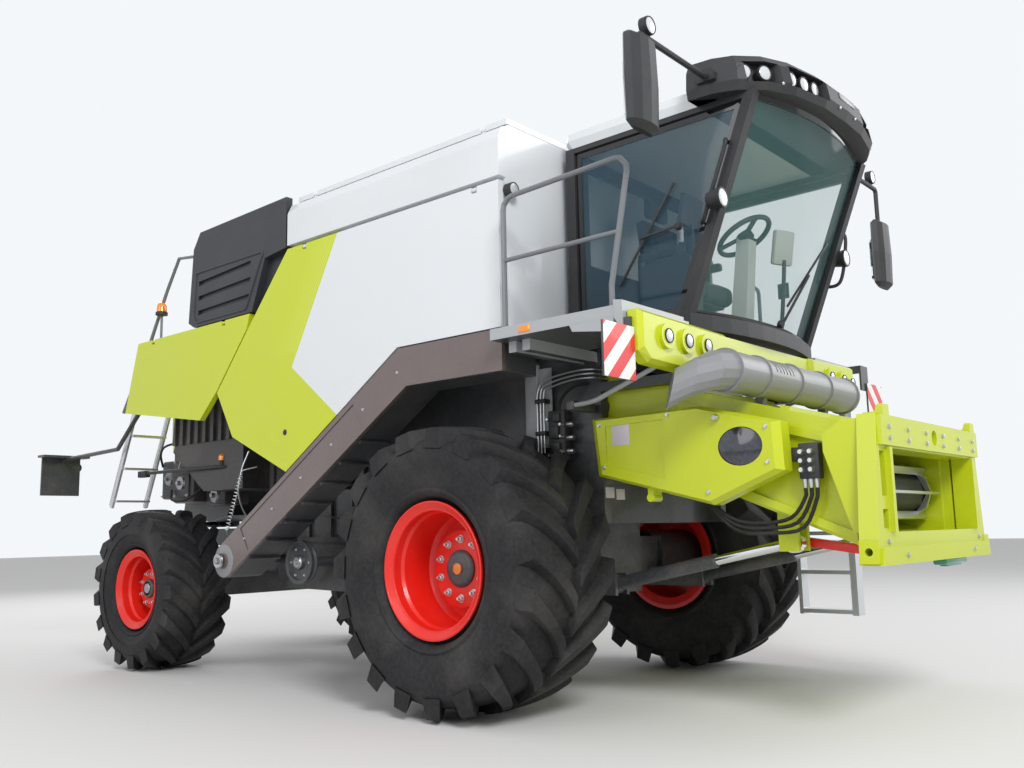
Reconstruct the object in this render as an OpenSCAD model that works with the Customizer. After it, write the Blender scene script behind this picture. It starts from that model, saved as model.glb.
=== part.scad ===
// Self-propelled combine harvester, parked with its header off
// X points forward, Y to the left, Z up; the ground is at z = 0
// Shapes are drawn with x = 0 at the front axle and moved to the middle of the machine at the end

/* [Wheels] */
// Distance between the front and the rear axle
wheelbase = 3850; // [3600:10:4100]
// Front tyre, diameter over the lugs
front_tyre_d = 1824; // [1700:2:1900]
// Front tyre width
front_tyre_w = 800; // [650:10:860]
// Distance between the middles of the front tyres
front_track = 2716; // [2600:2:2860]
// Front rim, diameter over its lip
front_rim_d = 860; // [800:2:920]
// Rear tyre, diameter over the lugs
rear_tyre_d = 1400; // [1250:2:1440]
// Rear tyre width
rear_tyre_w = 600; // [500:10:640]
// Distance between the middles of the rear tyres
rear_track = 2660; // [2560:2:2760]
// Rear rim, diameter over its lip
rear_rim_d = 690; // [620:2:740]
// Sheet thickness of the rims
rim_t = 16; // [10:1:24]
// Radius of a front axle stub in its wheel hub
front_stub_r = 90; // [70:1:110]
// Radius of a rear axle stub in its wheel hub
rear_stub_r = 55; // [40:1:70]
// Radius of the king pins
king_r = 40; // [30:1:48]

/* [Body] */
// Width over the side panels
body_w = 3000; // [2900:10:3100]
// Thickness of a side panel
panel_t = 50; // [30:1:60]
// Width of the threshing housing
core_w = 1600; // [1500:10:1660]
// Front face of the grain tank
tank_front_x = 450; // [400:5:500]
// Length of the grain tank
tank_len = 2250; // [2100:10:2350]
// Underside of the grain tank
tank_floor_z = 2420; // [2405:5:2500]
// Height of the tank's upper edge
tank_top_z = 3790; // [3700:5:3850]
// Height of the white band of the tank above the side panels
tank_band_h = 400; // [350:5:450]
// Wall thickness of the grain tank
tank_wall = 30; // [20:1:40]
// Half width of the tank on the left, beside the unloading auger
tank_left_w = 1220; // [1150:5:1260]
// Height of the service deck behind the engine
deck_z = 2950; // [2850:5:3050]
// Length of the engine bay
engine_bay_len = 1400; // [1250:10:1500]
// Rear end of the straw hood
hood_rear_x = -4150; // [-4300:10:-4050]
// Reach of the rear marker boards behind the front axle
rear_reach = 5930; // [5700:10:6100]

/* [Feeder] */
// Place of the feeder pivot along X
pivot_x = 650; // [600:5:700]
// Height of the feeder pivot
pivot_z = 1950; // [1900:5:2000]
// Width of the feeder trunk
feeder_w = 1440; // [1380:10:1500]
// Sheet thickness of the feeder
feeder_t = 20; // [10:1:30]
// Front face of the header adapter
adapter_x = 2540; // [2500:5:2600]
// Width of the adapter at its foot
adapter_w = 1900; // [1800:10:2000]
// Width of the adapter at its head
adapter_top_w = 1700; // [1600:10:1800]
// Height of the adapter's foot
adapter_z = 930; // [850:5:980]
// Height of the adapter
adapter_h = 800; // [740:5:860]
// Depth of the adapter frame
adapter_t = 130; // [100:5:160]
// Radius of the pin that the adapter tilts on
tilt_r = 45; // [30:1:60]
// Radius of a header lock pin hole
lock_r = 21; // [15:1:25]

/* [Cab] */
// Width of the cab
cab_w = 1740; // [1650:10:1800]
// Rear face of the cab
cab_rear_x = 520; // [500:5:560]
// Top of the cab floor
cab_floor_z = 2450; // [2420:5:2500]
// Height of the cab's side windows up to the roof
cab_side_h = 1290; // [1230:5:1330]
// Foot of the windscreen pillar along X
pillar_x = 1370; // [1320:5:1420]
// How far the windscreen pillar leans forward
pillar_lean = 510; // [430:5:560]
// Width of a pillar
pillar_w = 70; // [50:1:90]
// Glass thickness
glass_t = 12; // [6:1:20]
// Roof thickness
roof_t = 160; // [130:5:180]
// Height of the visor over the windscreen
visor_h = 255; // [220:5:280]

/* [Unloading auger] */
// Outer radius of the auger tube
auger_r = 185; // [150:1:200]
// Length of the auger from its elbow to its spout
auger_len = 4350; // [3800:10:4500]
// Height of the folded auger
auger_z = 3230; // [3150:5:3300]

/* [Fits] */
// Radial gap at pins, shafts and bores
pin_gap = 0.3; // [0.2:0.1:0.6]
// Radius of the panel, lid and door hinge pins
hinge_r = 8; // [6:1:10]
// Gap beside moving pieces
side_gap = 6; // [5:1:10]

/* [Hidden] */
$fn = 48;

paint_white = [0.93, 0.94, 0.95];
paint_green = [0.72, 0.80, 0.12];
paint_dark = [0.16, 0.17, 0.19];
paint_red = [0.86, 0.16, 0.07];
plastic_dark = [0.12, 0.12, 0.14];
metal_grey = [0.55, 0.56, 0.58];
rubber = [0.09, 0.09, 0.10];
glass_tint = [0.45, 0.60, 0.66, 0.4];

front_r = front_tyre_d / 2;
rear_r = rear_tyre_d / 2;
front_y = front_track / 2;
rear_y = rear_track / 2;
half_w = body_w / 2;
core_y = core_w / 2;
cab_y = cab_w / 2;
cab_top_z = cab_floor_z + cab_side_h;
tank_rear_x = tank_front_x - tank_len;
bay_rear_x = tank_rear_x - engine_bay_len;
hinge_z = tank_top_z - tank_band_h;
middle_x = (adapter_x - rear_reach) / 2;

// Place of the whole machine, so that the origin lies under its middle
module place() {
    translate([-middle_x, 0, 0]) children();
}

// A shape drawn in x and z, as thick as from y0 to y1
module along_y(y0, y1) {
    translate([0, y1, 0]) rotate([90, 0, 0]) linear_extrude(y1 - y0) children();
}

// A shape drawn in y and z, as long as from x0 to x1
module along_x(x0, x1) {
    translate([x0, 0, 0]) rotate([90, 0, 90]) linear_extrude(x1 - x0) children();
}

// A shape drawn in x and y, as high as from z0 to z1
module along_z(z0, z1) {
    translate([0, 0, z0]) linear_extrude(z1 - z0) children();
}

// A box from its lowest to its highest corner
module block(a, b) {
    translate(a) cube(b - a);
}

// A round bar along Y
module rod_y(x, z, y0, y1, r, sides = 48) {
    translate([x, y0, z]) rotate([-90, 0, 0]) cylinder(r = r, h = y1 - y0, $fn = sides);
}

// A round bar from one point to another
module bar(p, q, r) {
    d = q - p;
    translate(p) rotate([0, acos(d[2] / norm(d)), atan2(d[1], d[0])]) cylinder(r = r, h = norm(d));
}

// The same piece on the right and on the left
module both() {
    children();
    mirror([0, 1, 0]) children();
}

function unit(v) = v / norm(v);
function way(path, i) = unit(
    path[min(i + 1, len(path) - 1)] - path[i] == [0, 0, 0] ? path[i] - path[i - 1] :
    i == 0 ? path[1] - path[0] :
    unit(path[i + 1] - path[i]) + unit(path[i] - path[i - 1]));

// Points on a rounded corner of radius r at b, between a and c
function bend(a, b, c, r, steps = 3) = let(
    u = unit(a - b), v = unit(c - b),
    half = acos(u * v) / 2,
    cut = r / tan(half),
    p = b + u * cut, q = b + v * cut, m = b + unit(u + v) * r / sin(half))
    [for (i = [0 : steps]) let(w = unit((p - m) * (1 - i / steps) + (q - m) * (i / steps))) m + w * r];

// A bent tube along a path that lies in a plane with the given normal
module pipe(path, normal, r, sides = 8) {
    n = unit(normal);
    rings = len(path);
    points = [for (i = [0 : rings - 1], j = [0 : sides - 1])
        let(t = way(path, i), a = 360 * j / sides) path[i] + r * (cos(a) * n + sin(a) * cross(t, n))];
    walls = [for (i = [0 : rings - 2], j = [0 : sides - 1]) let(k = (j + 1) % sides)
        [i * sides + j, (i + 1) * sides + j, (i + 1) * sides + k, i * sides + k]];
    caps = [[for (j = [0 : sides - 1]) j], [for (j = [sides - 1 : -1 : 0]) (rings - 1) * sides + j]];
    polyhedron(points, concat(walls, caps));
}

// A solid through outlines of the same number of points, each a loop that runs anticlockwise seen from its
// far side
module skin(loops) {
    n = len(loops[0]);
    last = len(loops) - 1;
    points = [for (l = loops) each l];
    walls = [for (j = [0 : last - 1], i = [0 : n - 1]) let(k = (i + 1) % n, a = j * n, b = a + n)
        each [[a + i, b + i, b + k], [a + i, b + k, a + k]]];
    polyhedron(points, concat([[for (i = [0 : n - 1]) i]], walls,
        [[for (i = [n - 1 : -1 : 0]) last * n + i]]));
}
// An outline in x and z as a loop at a place along Y, and one in x and y at a height
function at_y(y, outline) = [for (q = outline) [q[0], y, q[1]]];
function at_z(z, outline) = [for (q = outline) [q[0], q[1], z]];

// Hinge ears: a round eye on a stem; the pin stands in a notch of the panel
ear_r = 14;
ear_len = 40;
module rod_x(x, y, z, l, r) {
    translate([x, y, z]) rotate([0, 90, 0]) cylinder(r = r, h = l);
}
module ear_x(x, y, z, wall_y) {
    difference() {
        union() {
            rod_x(x, y, z, ear_len, ear_r);
            block([x, min(y, wall_y), z - 8], [x + ear_len, max(y, wall_y), z + 8]);
        }
        rod_x(x - 1, y, z, ear_len + 2, hinge_r + pin_gap);
    }
}
module ear_up(x, y, z, foot_z) {
    difference() {
        union() {
            rod_x(x, y, z, ear_len, ear_r);
            block([x, y - 8, foot_z], [x + ear_len, y + 8, z]);
        }
        rod_x(x - 1, y, z, ear_len + 2, hinge_r + pin_gap);
    }
}
module hinge_cut(x, y, z) {
    block([x - side_gap, y - 80, z - ear_r - 12], [x + ear_len + side_gap, y + 80, z + 80]);
}
module hinge_cut_flat(x, y, z, side) {
    block([x - side_gap, side < 0 ? y - 80 : y - ear_r - 12, z - 80],
          [x + ear_len + side_gap, side < 0 ? y + ear_r + 12 : y + 80, z + 80]);
}
module hinge_pin(x, y, z) {
    rod_x(x - side_gap - 2, y, z, ear_len + 2 * side_gap + 4, hinge_r);
}

// Frame, axles and hitch
core_foot_z = front_r + 268;
core_rear_x = -2980;
rail_y = 500;
rail_w = 90;
rail_z0 = 900;
rail_z1 = 1060;
module frame_rails() {
    color(paint_dark) both() {
        block([-4250, -rail_y - rail_w, rail_z0 + 160], [core_rear_x, -rail_y, rail_z1 + 160]);
        block([-3300, -rail_y - rail_w, rail_z1 + 160], [-3180, -rail_y, hood_foot_z]);
    }
    color(paint_dark) block([-4250, -rail_y, rail_z0 + 160], [-4130, rail_y, rail_z1 + 160]);
}

stub_y = front_y - 80;
hood_foot_z = 1560;
module front_axle() {
    color(paint_dark) {
        block([-170, -700, front_r - 170], [170, 700, front_r + 170]);
        block([-260, -260, front_r - 230], [260, 260, core_foot_z]);
    }
    color(paint_dark) both() {
        rod_y(0, front_r, -stub_y + 10, -640, 215);
        rod_y(0, front_r, -stub_y - 2 * rim_t + 1, -stub_y + 10, front_stub_r);
        for (dy = clevis_dy)
            block([170, -lift_y + dy, lift_base[2] - 70],
            [lift_base[0] + 50, -lift_y + dy + 30, lift_base[2] + 70]);
        rod_y(lift_base[0], lift_base[2], -lift_y - 74, -lift_y + 74, lift_pin_r);
    }
}

king_y = rear_y - 330;
module rear_axle() {
    color(paint_dark) difference() {
        union() {
            block([-wheelbase - 100, -king_y + 75, rear_r - 100],
                [-wheelbase + 100, king_y - 75, rear_r + 100]);
            both() block([-wheelbase - 75, -king_y - 75, rear_r + 110],
                [-wheelbase + 75, -king_y + 120, rear_r + 160]);
            both() block([-wheelbase - 75, -king_y - 75, rear_r - 160],
                [-wheelbase + 75, -king_y + 120, rear_r - 110]);
            both() block([-wheelbase - 75, -king_y + 75, rear_r - 160],
                [-wheelbase + 75, -king_y + 120, rear_r + 160]);
            block([-wheelbase - 120, -180, rear_r + 100], [-wheelbase + 120, 180, rail_z0 + 160]);
        }
        both() translate([-wheelbase, -king_y, rear_r - 200]) cylinder(r = king_r + pin_gap, h = 400);
    }
    color(paint_dark) block([-4130, -rail_y, rail_z0 + 160], [-wheelbase + 300, rail_y, rail_z0 + 200]);
}

module knuckle() {
    color(paint_dark) {
        translate([-wheelbase, -king_y, rear_r - 158]) cylinder(r = king_r, h = 316);
        translate([-wheelbase, -king_y, rear_r - 104]) cylinder(r = 70, h = 208);
        rod_y(-wheelbase, rear_r, -king_y - 200, -king_y - 40, 85);
        rod_y(-wheelbase, rear_r, -king_y - 199 - 2 * rim_t, -king_y - 195, rear_stub_r);
    }
}

module tow_hitch() {
    color(metal_grey) difference() {
        union() {
            block([-4420, -60, 1080], [-4250, 60, 1110]);
            block([-4420, -60, 1190], [-4250, 60, 1220]);
            block([-4290, -60, 1110], [-4250, 60, 1190]);
        }
        translate([-4370, 0, 1000]) cylinder(r = 16, h = 300);
    }
}

// Wheels, drawn on the right side
// Half sections of a rim: radius and distance outwards from the wheel's middle
module rim(r_lip, width, disc_at, stub_r, hub_r, hub_out) {
    w = width / 2;
    r_bed = r_lip - 45;
    r_in = r_bed - rim_t;
    face = disc_at + rim_t;
    step_r = hub_r + 0.45 * (r_in - hub_r);
    color(paint_red) rotate([90, 0, 0]) rotate_extrude() polygon([
        [r_lip, -w], [r_lip, -w + rim_t], [r_bed, -w + 3 * rim_t], [r_bed, w - 3 * rim_t], [r_lip, w - rim_t],
        [r_lip, w], [r_lip - 12, w], [r_in, w - 2 * rim_t], [r_in, w - 90], [r_in - 14, w - 110],
        [r_in - 14, face + 70], [r_in - 50, face + 34], [step_r + 12, face + 34], [step_r, face],
        [hub_r, face], [hub_r, hub_out - 14], [hub_r - 14, hub_out], [0, hub_out], [0, disc_at + 2 * rim_t],
        [stub_r + pin_gap, disc_at + 2 * rim_t], [stub_r + pin_gap, disc_at], [step_r, disc_at],
        [step_r + 12, disc_at + 18], [r_in - 40, disc_at + 18], [r_in - 30, disc_at + 8],
        [r_in - 30, -w + rim_t],
        [r_lip - 30, -w]]);
}

// Triangles between two neighbouring rings of a tyre, which start at points a and b. A lug ring has four
// points
// for each lug, a plain ring two; the shift turns a plain ring against its neighbour by that many points
function band(a, b, na, nb, lugs, shift) = na == nb ?
    [for (i = [0 : na - 1]) let(k = (i + 1) % na, p = b + (i + shift) % nb, q = b + (k + shift) % nb)
        each [[a + i, a + k, q], [a + i, q, p]]] :
    [for (i = [0 : lugs - 1]) let(
        up = na < nb,
        c = [for (j = [0 : 2]) (up ? a : b) + (2 * i + j + shift) % (2 * lugs)],
        f = [for (j = [0 : 4]) (up ? b : a) + (4 * i + j) % (4 * lugs)],
        faces = [[f[0], f[1], c[0]], [f[1], f[2], c[0]], [f[2], f[3], c[0]], [f[3], c[1], c[0]],
                 [f[3], f[4], c[1]], [f[4], c[2], c[1]]])
        each [for (t = faces) up ? [t[0], t[2], t[1]] : t]];

// Tyre with slanting lugs, which start at its middle and end on its shoulders
module tyre(r, width, r_lip, rim_w, lugs, lug_h, mid_row) {
    w = width / 2;
    top_part = 0.34;
    flank = 0.09;
    steps = [-flank - top_part / 2, -top_part / 2, top_part / 2, flank + top_part / 2];
    tip = r / cos(180 * top_part / lugs);
    bead = rim_w / 2 - 3 * rim_t - pin_gap;
    r_in = (r_lip - 45 + pin_gap) / cos(90 / lugs);
    // Rows of the tread: place across, radius on a lug, turn in lug pitches, drop of the ground between lugs
    tread = [[0.03 * w, tip, 0, lug_h], [0.5 * w, tip - 3, 0.7, lug_h + 2],
        [w - 8, tip - 26, 1.2, lug_h + 4]];
    rows_used = mid_row ? [0, 1, 2] : [0, 2];
    // Rows of the side wall: place across and radius
    wall = [[w, tip - lug_h - 75], [w - 4, r_lip + 0.42 * (r - r_lip)], [bead - 24, r_lip + 8], [bead, r_in]];
    function plain(y, radius, turn) = [for (i = [0 : 2 * lugs - 1]) let(a = 270 + 360 * (i / 2 + turn) / lugs)
        [radius * cos(a), y, radius * sin(a)]];
    function lugged(q, side, half) = [for (i = [0 : lugs - 1], j = [0 : 3])
        let(a = 270 + 360 * (i + steps[j] + q[2] + half) / lugs, radius = j == 1 || j == 2 ? q[1]
        : q[1] - q[3])
        [radius * cos(a), side * q[0], radius * sin(a)]];
    function half_rows(side, half) = concat([for (k = rows_used) lugged(tread[k], side, half)],
        [for (q = wall) plain(side * q[0], q[1], 1.3 + half)]);
    right = half_rows(-1, 0);
    left = half_rows(1, 0.5);
    rows = concat([for (k = [len(right) - 1 : -1 : 0]) right[k]], [plain(0, tip - lug_h - 4, 0)], left);
    function first(k) = k == 0 ? 0 : first(k - 1) + len(rows[k - 1]);
    last = len(rows) - 1;
    color(rubber) polyhedron([for (l = rows) each l], concat(
        [for (k = [0 : last - 1])
            each band(first(k), first(k + 1), len(rows[k]), len(rows[k + 1]), lugs, k == len(right) ? 1 : 0)],
        band(first(last), 0, len(rows[last]), len(rows[0]), lugs, 1)));
}

front_rim_w = 680;
rear_rim_w = 500;
module front_rim() {
    translate([0, -front_y, front_r]) rim(front_rim_d / 2, front_rim_w, stub_y - front_y, front_stub_r,
        150, 60);
}
module front_tyre() {
    translate([0, -front_y, front_r]) tyre(front_r, front_tyre_w, front_rim_d / 2, front_rim_w, 19, 58, true);
}
module rear_rim() {
    translate([-wheelbase, -rear_y, rear_r])
        rim(rear_rim_d / 2, rear_rim_w, king_y + 200 - rear_y, rear_stub_r, 95, 20);
}
module rear_tyre() {
    translate([-wheelbase, -rear_y, rear_r])
        tyre(rear_r, rear_tyre_w, rear_rim_d / 2, rear_rim_w, 17, 42, false);
}

// Threshing housing with the cleaning shoe below it
core_ribs = [-2920, -2740, -2630, -2400, -2110, -1840, -1700];
module body_core() {
    color(paint_dark) difference() {
        union() {
            along_y(-core_y, core_y) polygon([
                [pivot_x + 50, core_foot_z], [pivot_x + 50, cab_foot_z], [cab_rear_x - 20, cab_foot_z],
                [cab_rear_x - 20, tank_floor_z], [core_rear_x, tank_floor_z], [core_rear_x, 1080],
                [-2760, 700], [-1050, 660], [-760, core_foot_z]]);
            both() for (x = core_ribs) block([x, -core_y - 30, 1130], [x + 45, -core_y, tank_floor_z - 60]);
            both() block([core_rear_x + 20, -core_y - 22, 1080], [-900, -core_y, 1120]);
        }
        rod_y(pivot_x, pivot_z, -feeder_w / 2 - side_gap, feeder_w / 2 + side_gap, 300);
        block([pivot_x - 70, -feeder_w / 2 - side_gap, core_foot_z - 1],
              [pivot_x + 60, feeder_w / 2 + side_gap, pivot_z]);
        block([pivot_x, -feeder_w / 2 - side_gap, pivot_z - 1],
            [pivot_x + 60, feeder_w / 2 + side_gap, 2300]);
    }
    color(metal_grey) both() rod_y(pivot_x, pivot_z, -core_y + 10, -feeder_w / 2 + 60, 60);
}

module engine() {
    top = tank_top_z - 140;
    color(metal_grey) {
        block([tank_rear_x - 1150, -520, deck_z], [tank_rear_x - 150, 620, top]);
        translate([tank_rear_x - 900, 760, deck_z]) {
            cylinder(r = 90, h = 420);
            cylinder(r = 55, h = tank_top_z + 90 - deck_z);
        }
        block([tank_rear_x - 950, 619, deck_z + 150], [tank_rear_x - 850, 700, deck_z + 250]);
    }
}

// Hinge lines of the panels and lids: places along X, and the axis in y and z
panel_hinge = [half_w - 14, hinge_z - 16];
panel_hinge_xs = [tank_rear_x + 200, tank_front_x - 240];
left_hinge_z = 2930;
left_panel_hinge = [half_w - 14, left_hinge_z - 16];
rear_hinge = [half_w - 14, deck_z - 16];
rear_hinge_xs = [hood_rear_x + 300, -2700];
lid_hinge_z = tank_top_z + 30;
lid_right_y = -half_w + 120;
lid_left_y = tank_left_w - 20;
turret = [60, half_w - 10];
tank_right_y = -half_w + panel_t + 20;
// Hollow tank: a floor, side walls that stand out above the panels, a front and a rear wall
module tank_section(t) {
    offset(delta = -t) polygon([
        [tank_right_y, tank_floor_z], [tank_left_w, tank_floor_z], [tank_left_w, tank_top_z],
        [-half_w + 110, tank_top_z], [-half_w + 35, tank_top_z - 35], [-half_w, tank_top_z - 110],
        [-half_w, hinge_z + 30], [tank_right_y, hinge_z + 30]]);
}
module grain_tank() {
    color(paint_white) {
        for (x = panel_hinge_xs) {
            ear_x(x, -panel_hinge[0], panel_hinge[1], tank_right_y);
            ear_x(x, left_panel_hinge[0], left_panel_hinge[1], tank_left_w);
            ear_up(x, lid_right_y, lid_hinge_z, tank_top_z);
            ear_up(x, lid_left_y, lid_hinge_z, tank_top_z);
        }
        block([tank_rear_x, tank_left_w, left_hinge_z + 20], [tank_front_x, half_w, left_hinge_z + 50]);
        translate([turret[0], turret[1], left_hinge_z + 20]) cylinder(r = auger_r, h = 30);
        translate([turret[0], turret[1], left_hinge_z + 50]) cylinder(r = 60, h = 150);
    }
    color(paint_white) difference() {
        along_x(tank_rear_x, tank_front_x) tank_section(0);
        along_x(tank_rear_x + tank_wall, tank_front_x - tank_wall) tank_section(tank_wall);
        block([tank_rear_x + tank_wall, -half_w + 140, tank_top_z - 2 * tank_wall],
              [tank_front_x - tank_wall, tank_left_w - tank_wall, tank_top_z + 10]);
    }
}

module tank_lid(side) {
    y_hinge = side < 0 ? lid_right_y : lid_left_y;
    y0 = side < 0 ? lid_right_y - 20 : 3;
    y1 = side < 0 ? -3 : lid_left_y + 20;
    color(paint_white) {
        difference() {
            block([tank_rear_x + 10, y0, tank_top_z + 10], [tank_front_x - 10, y1, tank_top_z + 50]);
            for (x = panel_hinge_xs) hinge_cut_flat(x, y_hinge, lid_hinge_z, side);
        }
        for (x = panel_hinge_xs) hinge_pin(x, y_hinge, lid_hinge_z);
    }
}

// Dark covers over the engine bay, with three louvre grooves each
module engine_cover() {
    top = tank_top_z + 40;
    color(plastic_dark) difference() {
        along_y(-half_w, -half_w + 60) polygon([
            [tank_rear_x - 20, hinge_z + 20], [tank_rear_x - 20, top], [bay_rear_x + 120, top - 20],
            [bay_rear_x + 20, top - 160], [bay_rear_x - 30, deck_z + 60], [bay_rear_x + 60, deck_z + 10],
            [tank_rear_x - 470, deck_z + 10], [tank_rear_x - 300, hinge_z - 10]]);
        for (i = [0 : 2]) along_y(-half_w - 1, -half_w + 25) polygon([
            [bay_rear_x + 120, deck_z + 110 + 130 * i], [bay_rear_x + 900, deck_z + 130 + 140 * i],
            [bay_rear_x + 900, deck_z + 170 + 140 * i], [bay_rear_x + 120, deck_z + 150 + 130 * i]]);
    }
}
module engine_covers() {
    left_in = half_w - tank_left_w - 30;
    engine_cover();
    translate([0, -left_in, 0]) mirror([0, 1, 0]) engine_cover();
    color(plastic_dark) difference() {
        block([bay_rear_x + 60, -half_w + 60, tank_top_z - 60],
            [tank_rear_x, half_w - left_in - 60, tank_top_z - 20]);
        translate([tank_rear_x - 900, 760, tank_top_z - 70]) cylinder(r = 75, h = 60);
        for (i = [0 : 5]) block([bay_rear_x + 200 + 90 * i, -1200, tank_top_z - 40],
            [bay_rear_x + 250 + 90 * i, -300, tank_top_z - 10]);
    }
    color(plastic_dark) block([bay_rear_x, -half_w + 60, deck_z],
        [bay_rear_x + 40, half_w - left_in - 60, tank_top_z - 60]);
}

hood_bend_x = -3600;
hood_rear_z = 1950;
module rear_hood() {
    color(paint_dark) {
        block([hood_rear_x, -half_w + 130, tank_floor_z], [tank_rear_x, half_w - 130, deck_z]);
        along_y(-1080, 1080) polygon([[hood_rear_x, tank_floor_z], [core_rear_x, tank_floor_z],
            [core_rear_x, hood_foot_z], [hood_bend_x, hood_foot_z], [hood_rear_x, hood_rear_z]]);
        both() for (x = rear_hinge_xs) ear_x(x, -rear_hinge[0], rear_hinge[1], -half_w + 130);
        both() for (x = [hood_rear_x + 30 : 130 : core_rear_x - 60])
            block([x, -1110, hood_rear_z + 60], [x + 50, -1080, tank_floor_z]);
        for (z = [tank_floor_z + 90 : 90 : deck_z - 90])
            block([hood_rear_x - 25, -860, z], [hood_rear_x, 860, z + 30]);
    }
}

module chopper() {
    rise = (hood_rear_z - hood_foot_z) / (hood_bend_x - hood_rear_x);
    color(paint_dark) {
        along_y(-600, 600) polygon([[hood_bend_x - 100, hood_foot_z + 100 * rise - 0.2],
            [hood_rear_x, hood_rear_z - 0.2], [-4650, 1800], [-4750, 1350], [-4250, 1290], [-3950, 1350]]);
        for (y = [-320, 320]) translate([-4520, y, 1240]) {
            cylinder(r = 60, h = 110);
            cylinder(r = 250, h = 14);
            for (a = [20 : 90 : 290]) rotate([0, 0, a]) block([60, -5, 12], [245, 5, 55]);
        }
    }
}

// Clean grain elevator on the right side
elev_foot = [-2590, 950];
elev_top = [-505, 2410];
elev_r = 135;
elev_h = 2 * elev_r;
elev_in = 300;
elev_angle = atan2(elev_top[1] - elev_foot[1],
    elev_top[0] - elev_foot[0]) - asin(elev_r / norm(elev_top - elev_foot));
// Height of the elevator's upper edge at a place along X
function elev_edge(x) = elev_top[1] + (x - elev_top[0]) * tan(elev_angle);
// A sloping band with a round foot and a level head
module elevator_shape() {
    polygon(concat(
        [[tank_front_x, elev_top[1]], elev_top],
        [for (i = [0 : 10]) let(a = elev_angle + 90 + 18 * i) elev_foot + elev_r * [cos(a), sin(a)]],
        [elev_top + elev_h * [tan(elev_angle / 2), -1], [tank_front_x, elev_top[1] - elev_h]]));
}
module elevator() {
    inner_y = -half_w + 30 + elev_in;
    color(paint_dark) {
        along_y(-half_w + 30, inner_y) elevator_shape();
        rod_y(elev_foot[0], elev_foot[1], inner_y - 10, -core_y, 40);
        block([-100, inner_y - 10, 2200], [200, -core_y, 2300]);
        translate([elev_foot[0], 0, elev_foot[1]]) rotate([0, -elev_angle, 0])
            for (k = [1 : 7]) block([260 * k, -half_w + 40, -elev_r - 22],
            [260 * k + 22, inner_y - 10, -elev_r + 4]);
        block([-1785, inner_y - 2, 1500], [-1710, -core_y, 1560]);
    }
}
module elevator_cover() {
    along = [cos(elev_angle), sin(elev_angle)];
    color([0.35, 0.32, 0.33]) {
        along_y(-half_w + 8, -half_w + 30) elevator_shape();
        along_y(-half_w, -half_w + 9) difference() {
            elevator_shape();
            hull_band(elev_foot + 320 * along, elev_foot + 1950 * along, elev_r - 34);
        }
        rod_y(elev_foot[0], elev_foot[1], -half_w - 26, -half_w + 1, 62);
        rod_y(elev_foot[0], elev_foot[1], -half_w - 44, -half_w - 20, 26);
    }
}
// A band of the given half width between two points
module hull_band(p, q, r) {
    n = [-(q - p)[1], (q - p)[0]] / norm(q - p);
    polygon([p + r * n, p - r * n, q - r * n, q + r * n]);
}

// Belt wheels on the right: place in x and z, radius, and reach from the housing
belt_wheels = [[-1980, 930, 170, 420], [-1250, 1450, 260, 160], [-2500, 1500, 150, 160],
    [-2240, 2050, 110, 160],
               [-1560, 1990, 90, 160]];
module drive_pulleys() {
    color(metal_grey) for (q = belt_wheels) {
        translate([q[0], -core_y - q[3] + 60, q[1]]) rotate([90, 0, 0]) rotate_extrude() polygon([
            [0, 0], [q[2], 0], [q[2], 10], [q[2] - 14, 22], [q[2] - 14, 38], [q[2], 50], [q[2], 60],
            [q[2] - 30, 60], [q[2] - 34, 40], [60, 40], [50, 66], [0, 66]]);
        rod_y(q[0], q[1], -core_y - q[3] + 60, -core_y, 40);
    }
    color(rubber) belt([belt_wheels[1], belt_wheels[2]], 60, 50);
}
// A V belt round two wheels, as a flat band
module belt(wheels, width, out) {
    a = wheels[0];
    b = wheels[1];
    ra = a[2] - 12;
    rb = b[2] - 12;
    d = norm([b[0] - a[0], b[1] - a[1]]);
    slope = atan2(b[1] - a[1], b[0] - a[0]);
    lean = acos((ra - rb) / d);
    outer = [for (e = [0, 12]) concat(
        [for (i = [0 : 12]) let(t = slope + lean + (360 - 2 * lean) * i / 12) [a[0], a[1]]
        + (ra + e) * [cos(t), sin(t)]],
        [for (i = [0 : 12]) let(t = slope - lean + 2 * lean * i / 12) [b[0], b[1]]
        + (rb + e) * [cos(t), sin(t)]])];
    y = -core_y - a[3] + 60 - 30;
    along_y(y - 7, y + 7) difference() {
        polygon(outer[1]);
        polygon(outer[0]);
    }
}

// Walkways beside the cab and the railings round them
deck_top_z = 2380;
platform_front_x = 1450;
ladder_x = 1410;
ladder_y = 1500;
module platforms() {
    front = platform_front_x;
    color(paint_dark) both() {
        block([tank_front_x + 10, -half_w - 120, deck_top_z - 70], [940, -cab_y - 40, deck_top_z]);
        for (x = [510, 620]) block([x, -half_w, deck_top_z - 140], [x + 60, -core_y, deck_top_z - 70]);
        for (k = [0 : 5]) block([tank_front_x + 40 + 75 * k, -half_w - 60, deck_top_z],
            [tank_front_x + 52 + 75 * k, -cab_y - 100, deck_top_z + 6]);
        block([1390, -core_y - 20, 2040], [1430, -core_y + 60, cab_foot_z]);
        block([pivot_x + 50, -core_y - 20, 2040], [1400, -core_y + 60, 2100]);
    }
    color(paint_dark) {
        block([939, -half_w - 120, deck_top_z - 70], [front, -cab_y - 40, deck_top_z]);
        along_y(-half_w - 125, -cab_y - 100) polygon([[1080, deck_top_z - 70], [1100, deck_top_z - 110],
            [front - 60, deck_top_z - 150], [front, deck_top_z - 150], [front, deck_top_z + 20],
            [front - 60, deck_top_z + 30], [front - 60, deck_top_z - 70]]);
        block([939, cab_y + 40, deck_top_z - 70], [front, ladder_y - 110, deck_top_z]);
        block([ladder_x - 50, ladder_y - 111, deck_top_z - 70], [ladder_x + 40, ladder_y + 30, deck_top_z]);
        translate([ladder_x, ladder_y, deck_top_z - 480]) cylinder(r = 14, h = 480 - 70);
    }
}

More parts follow.
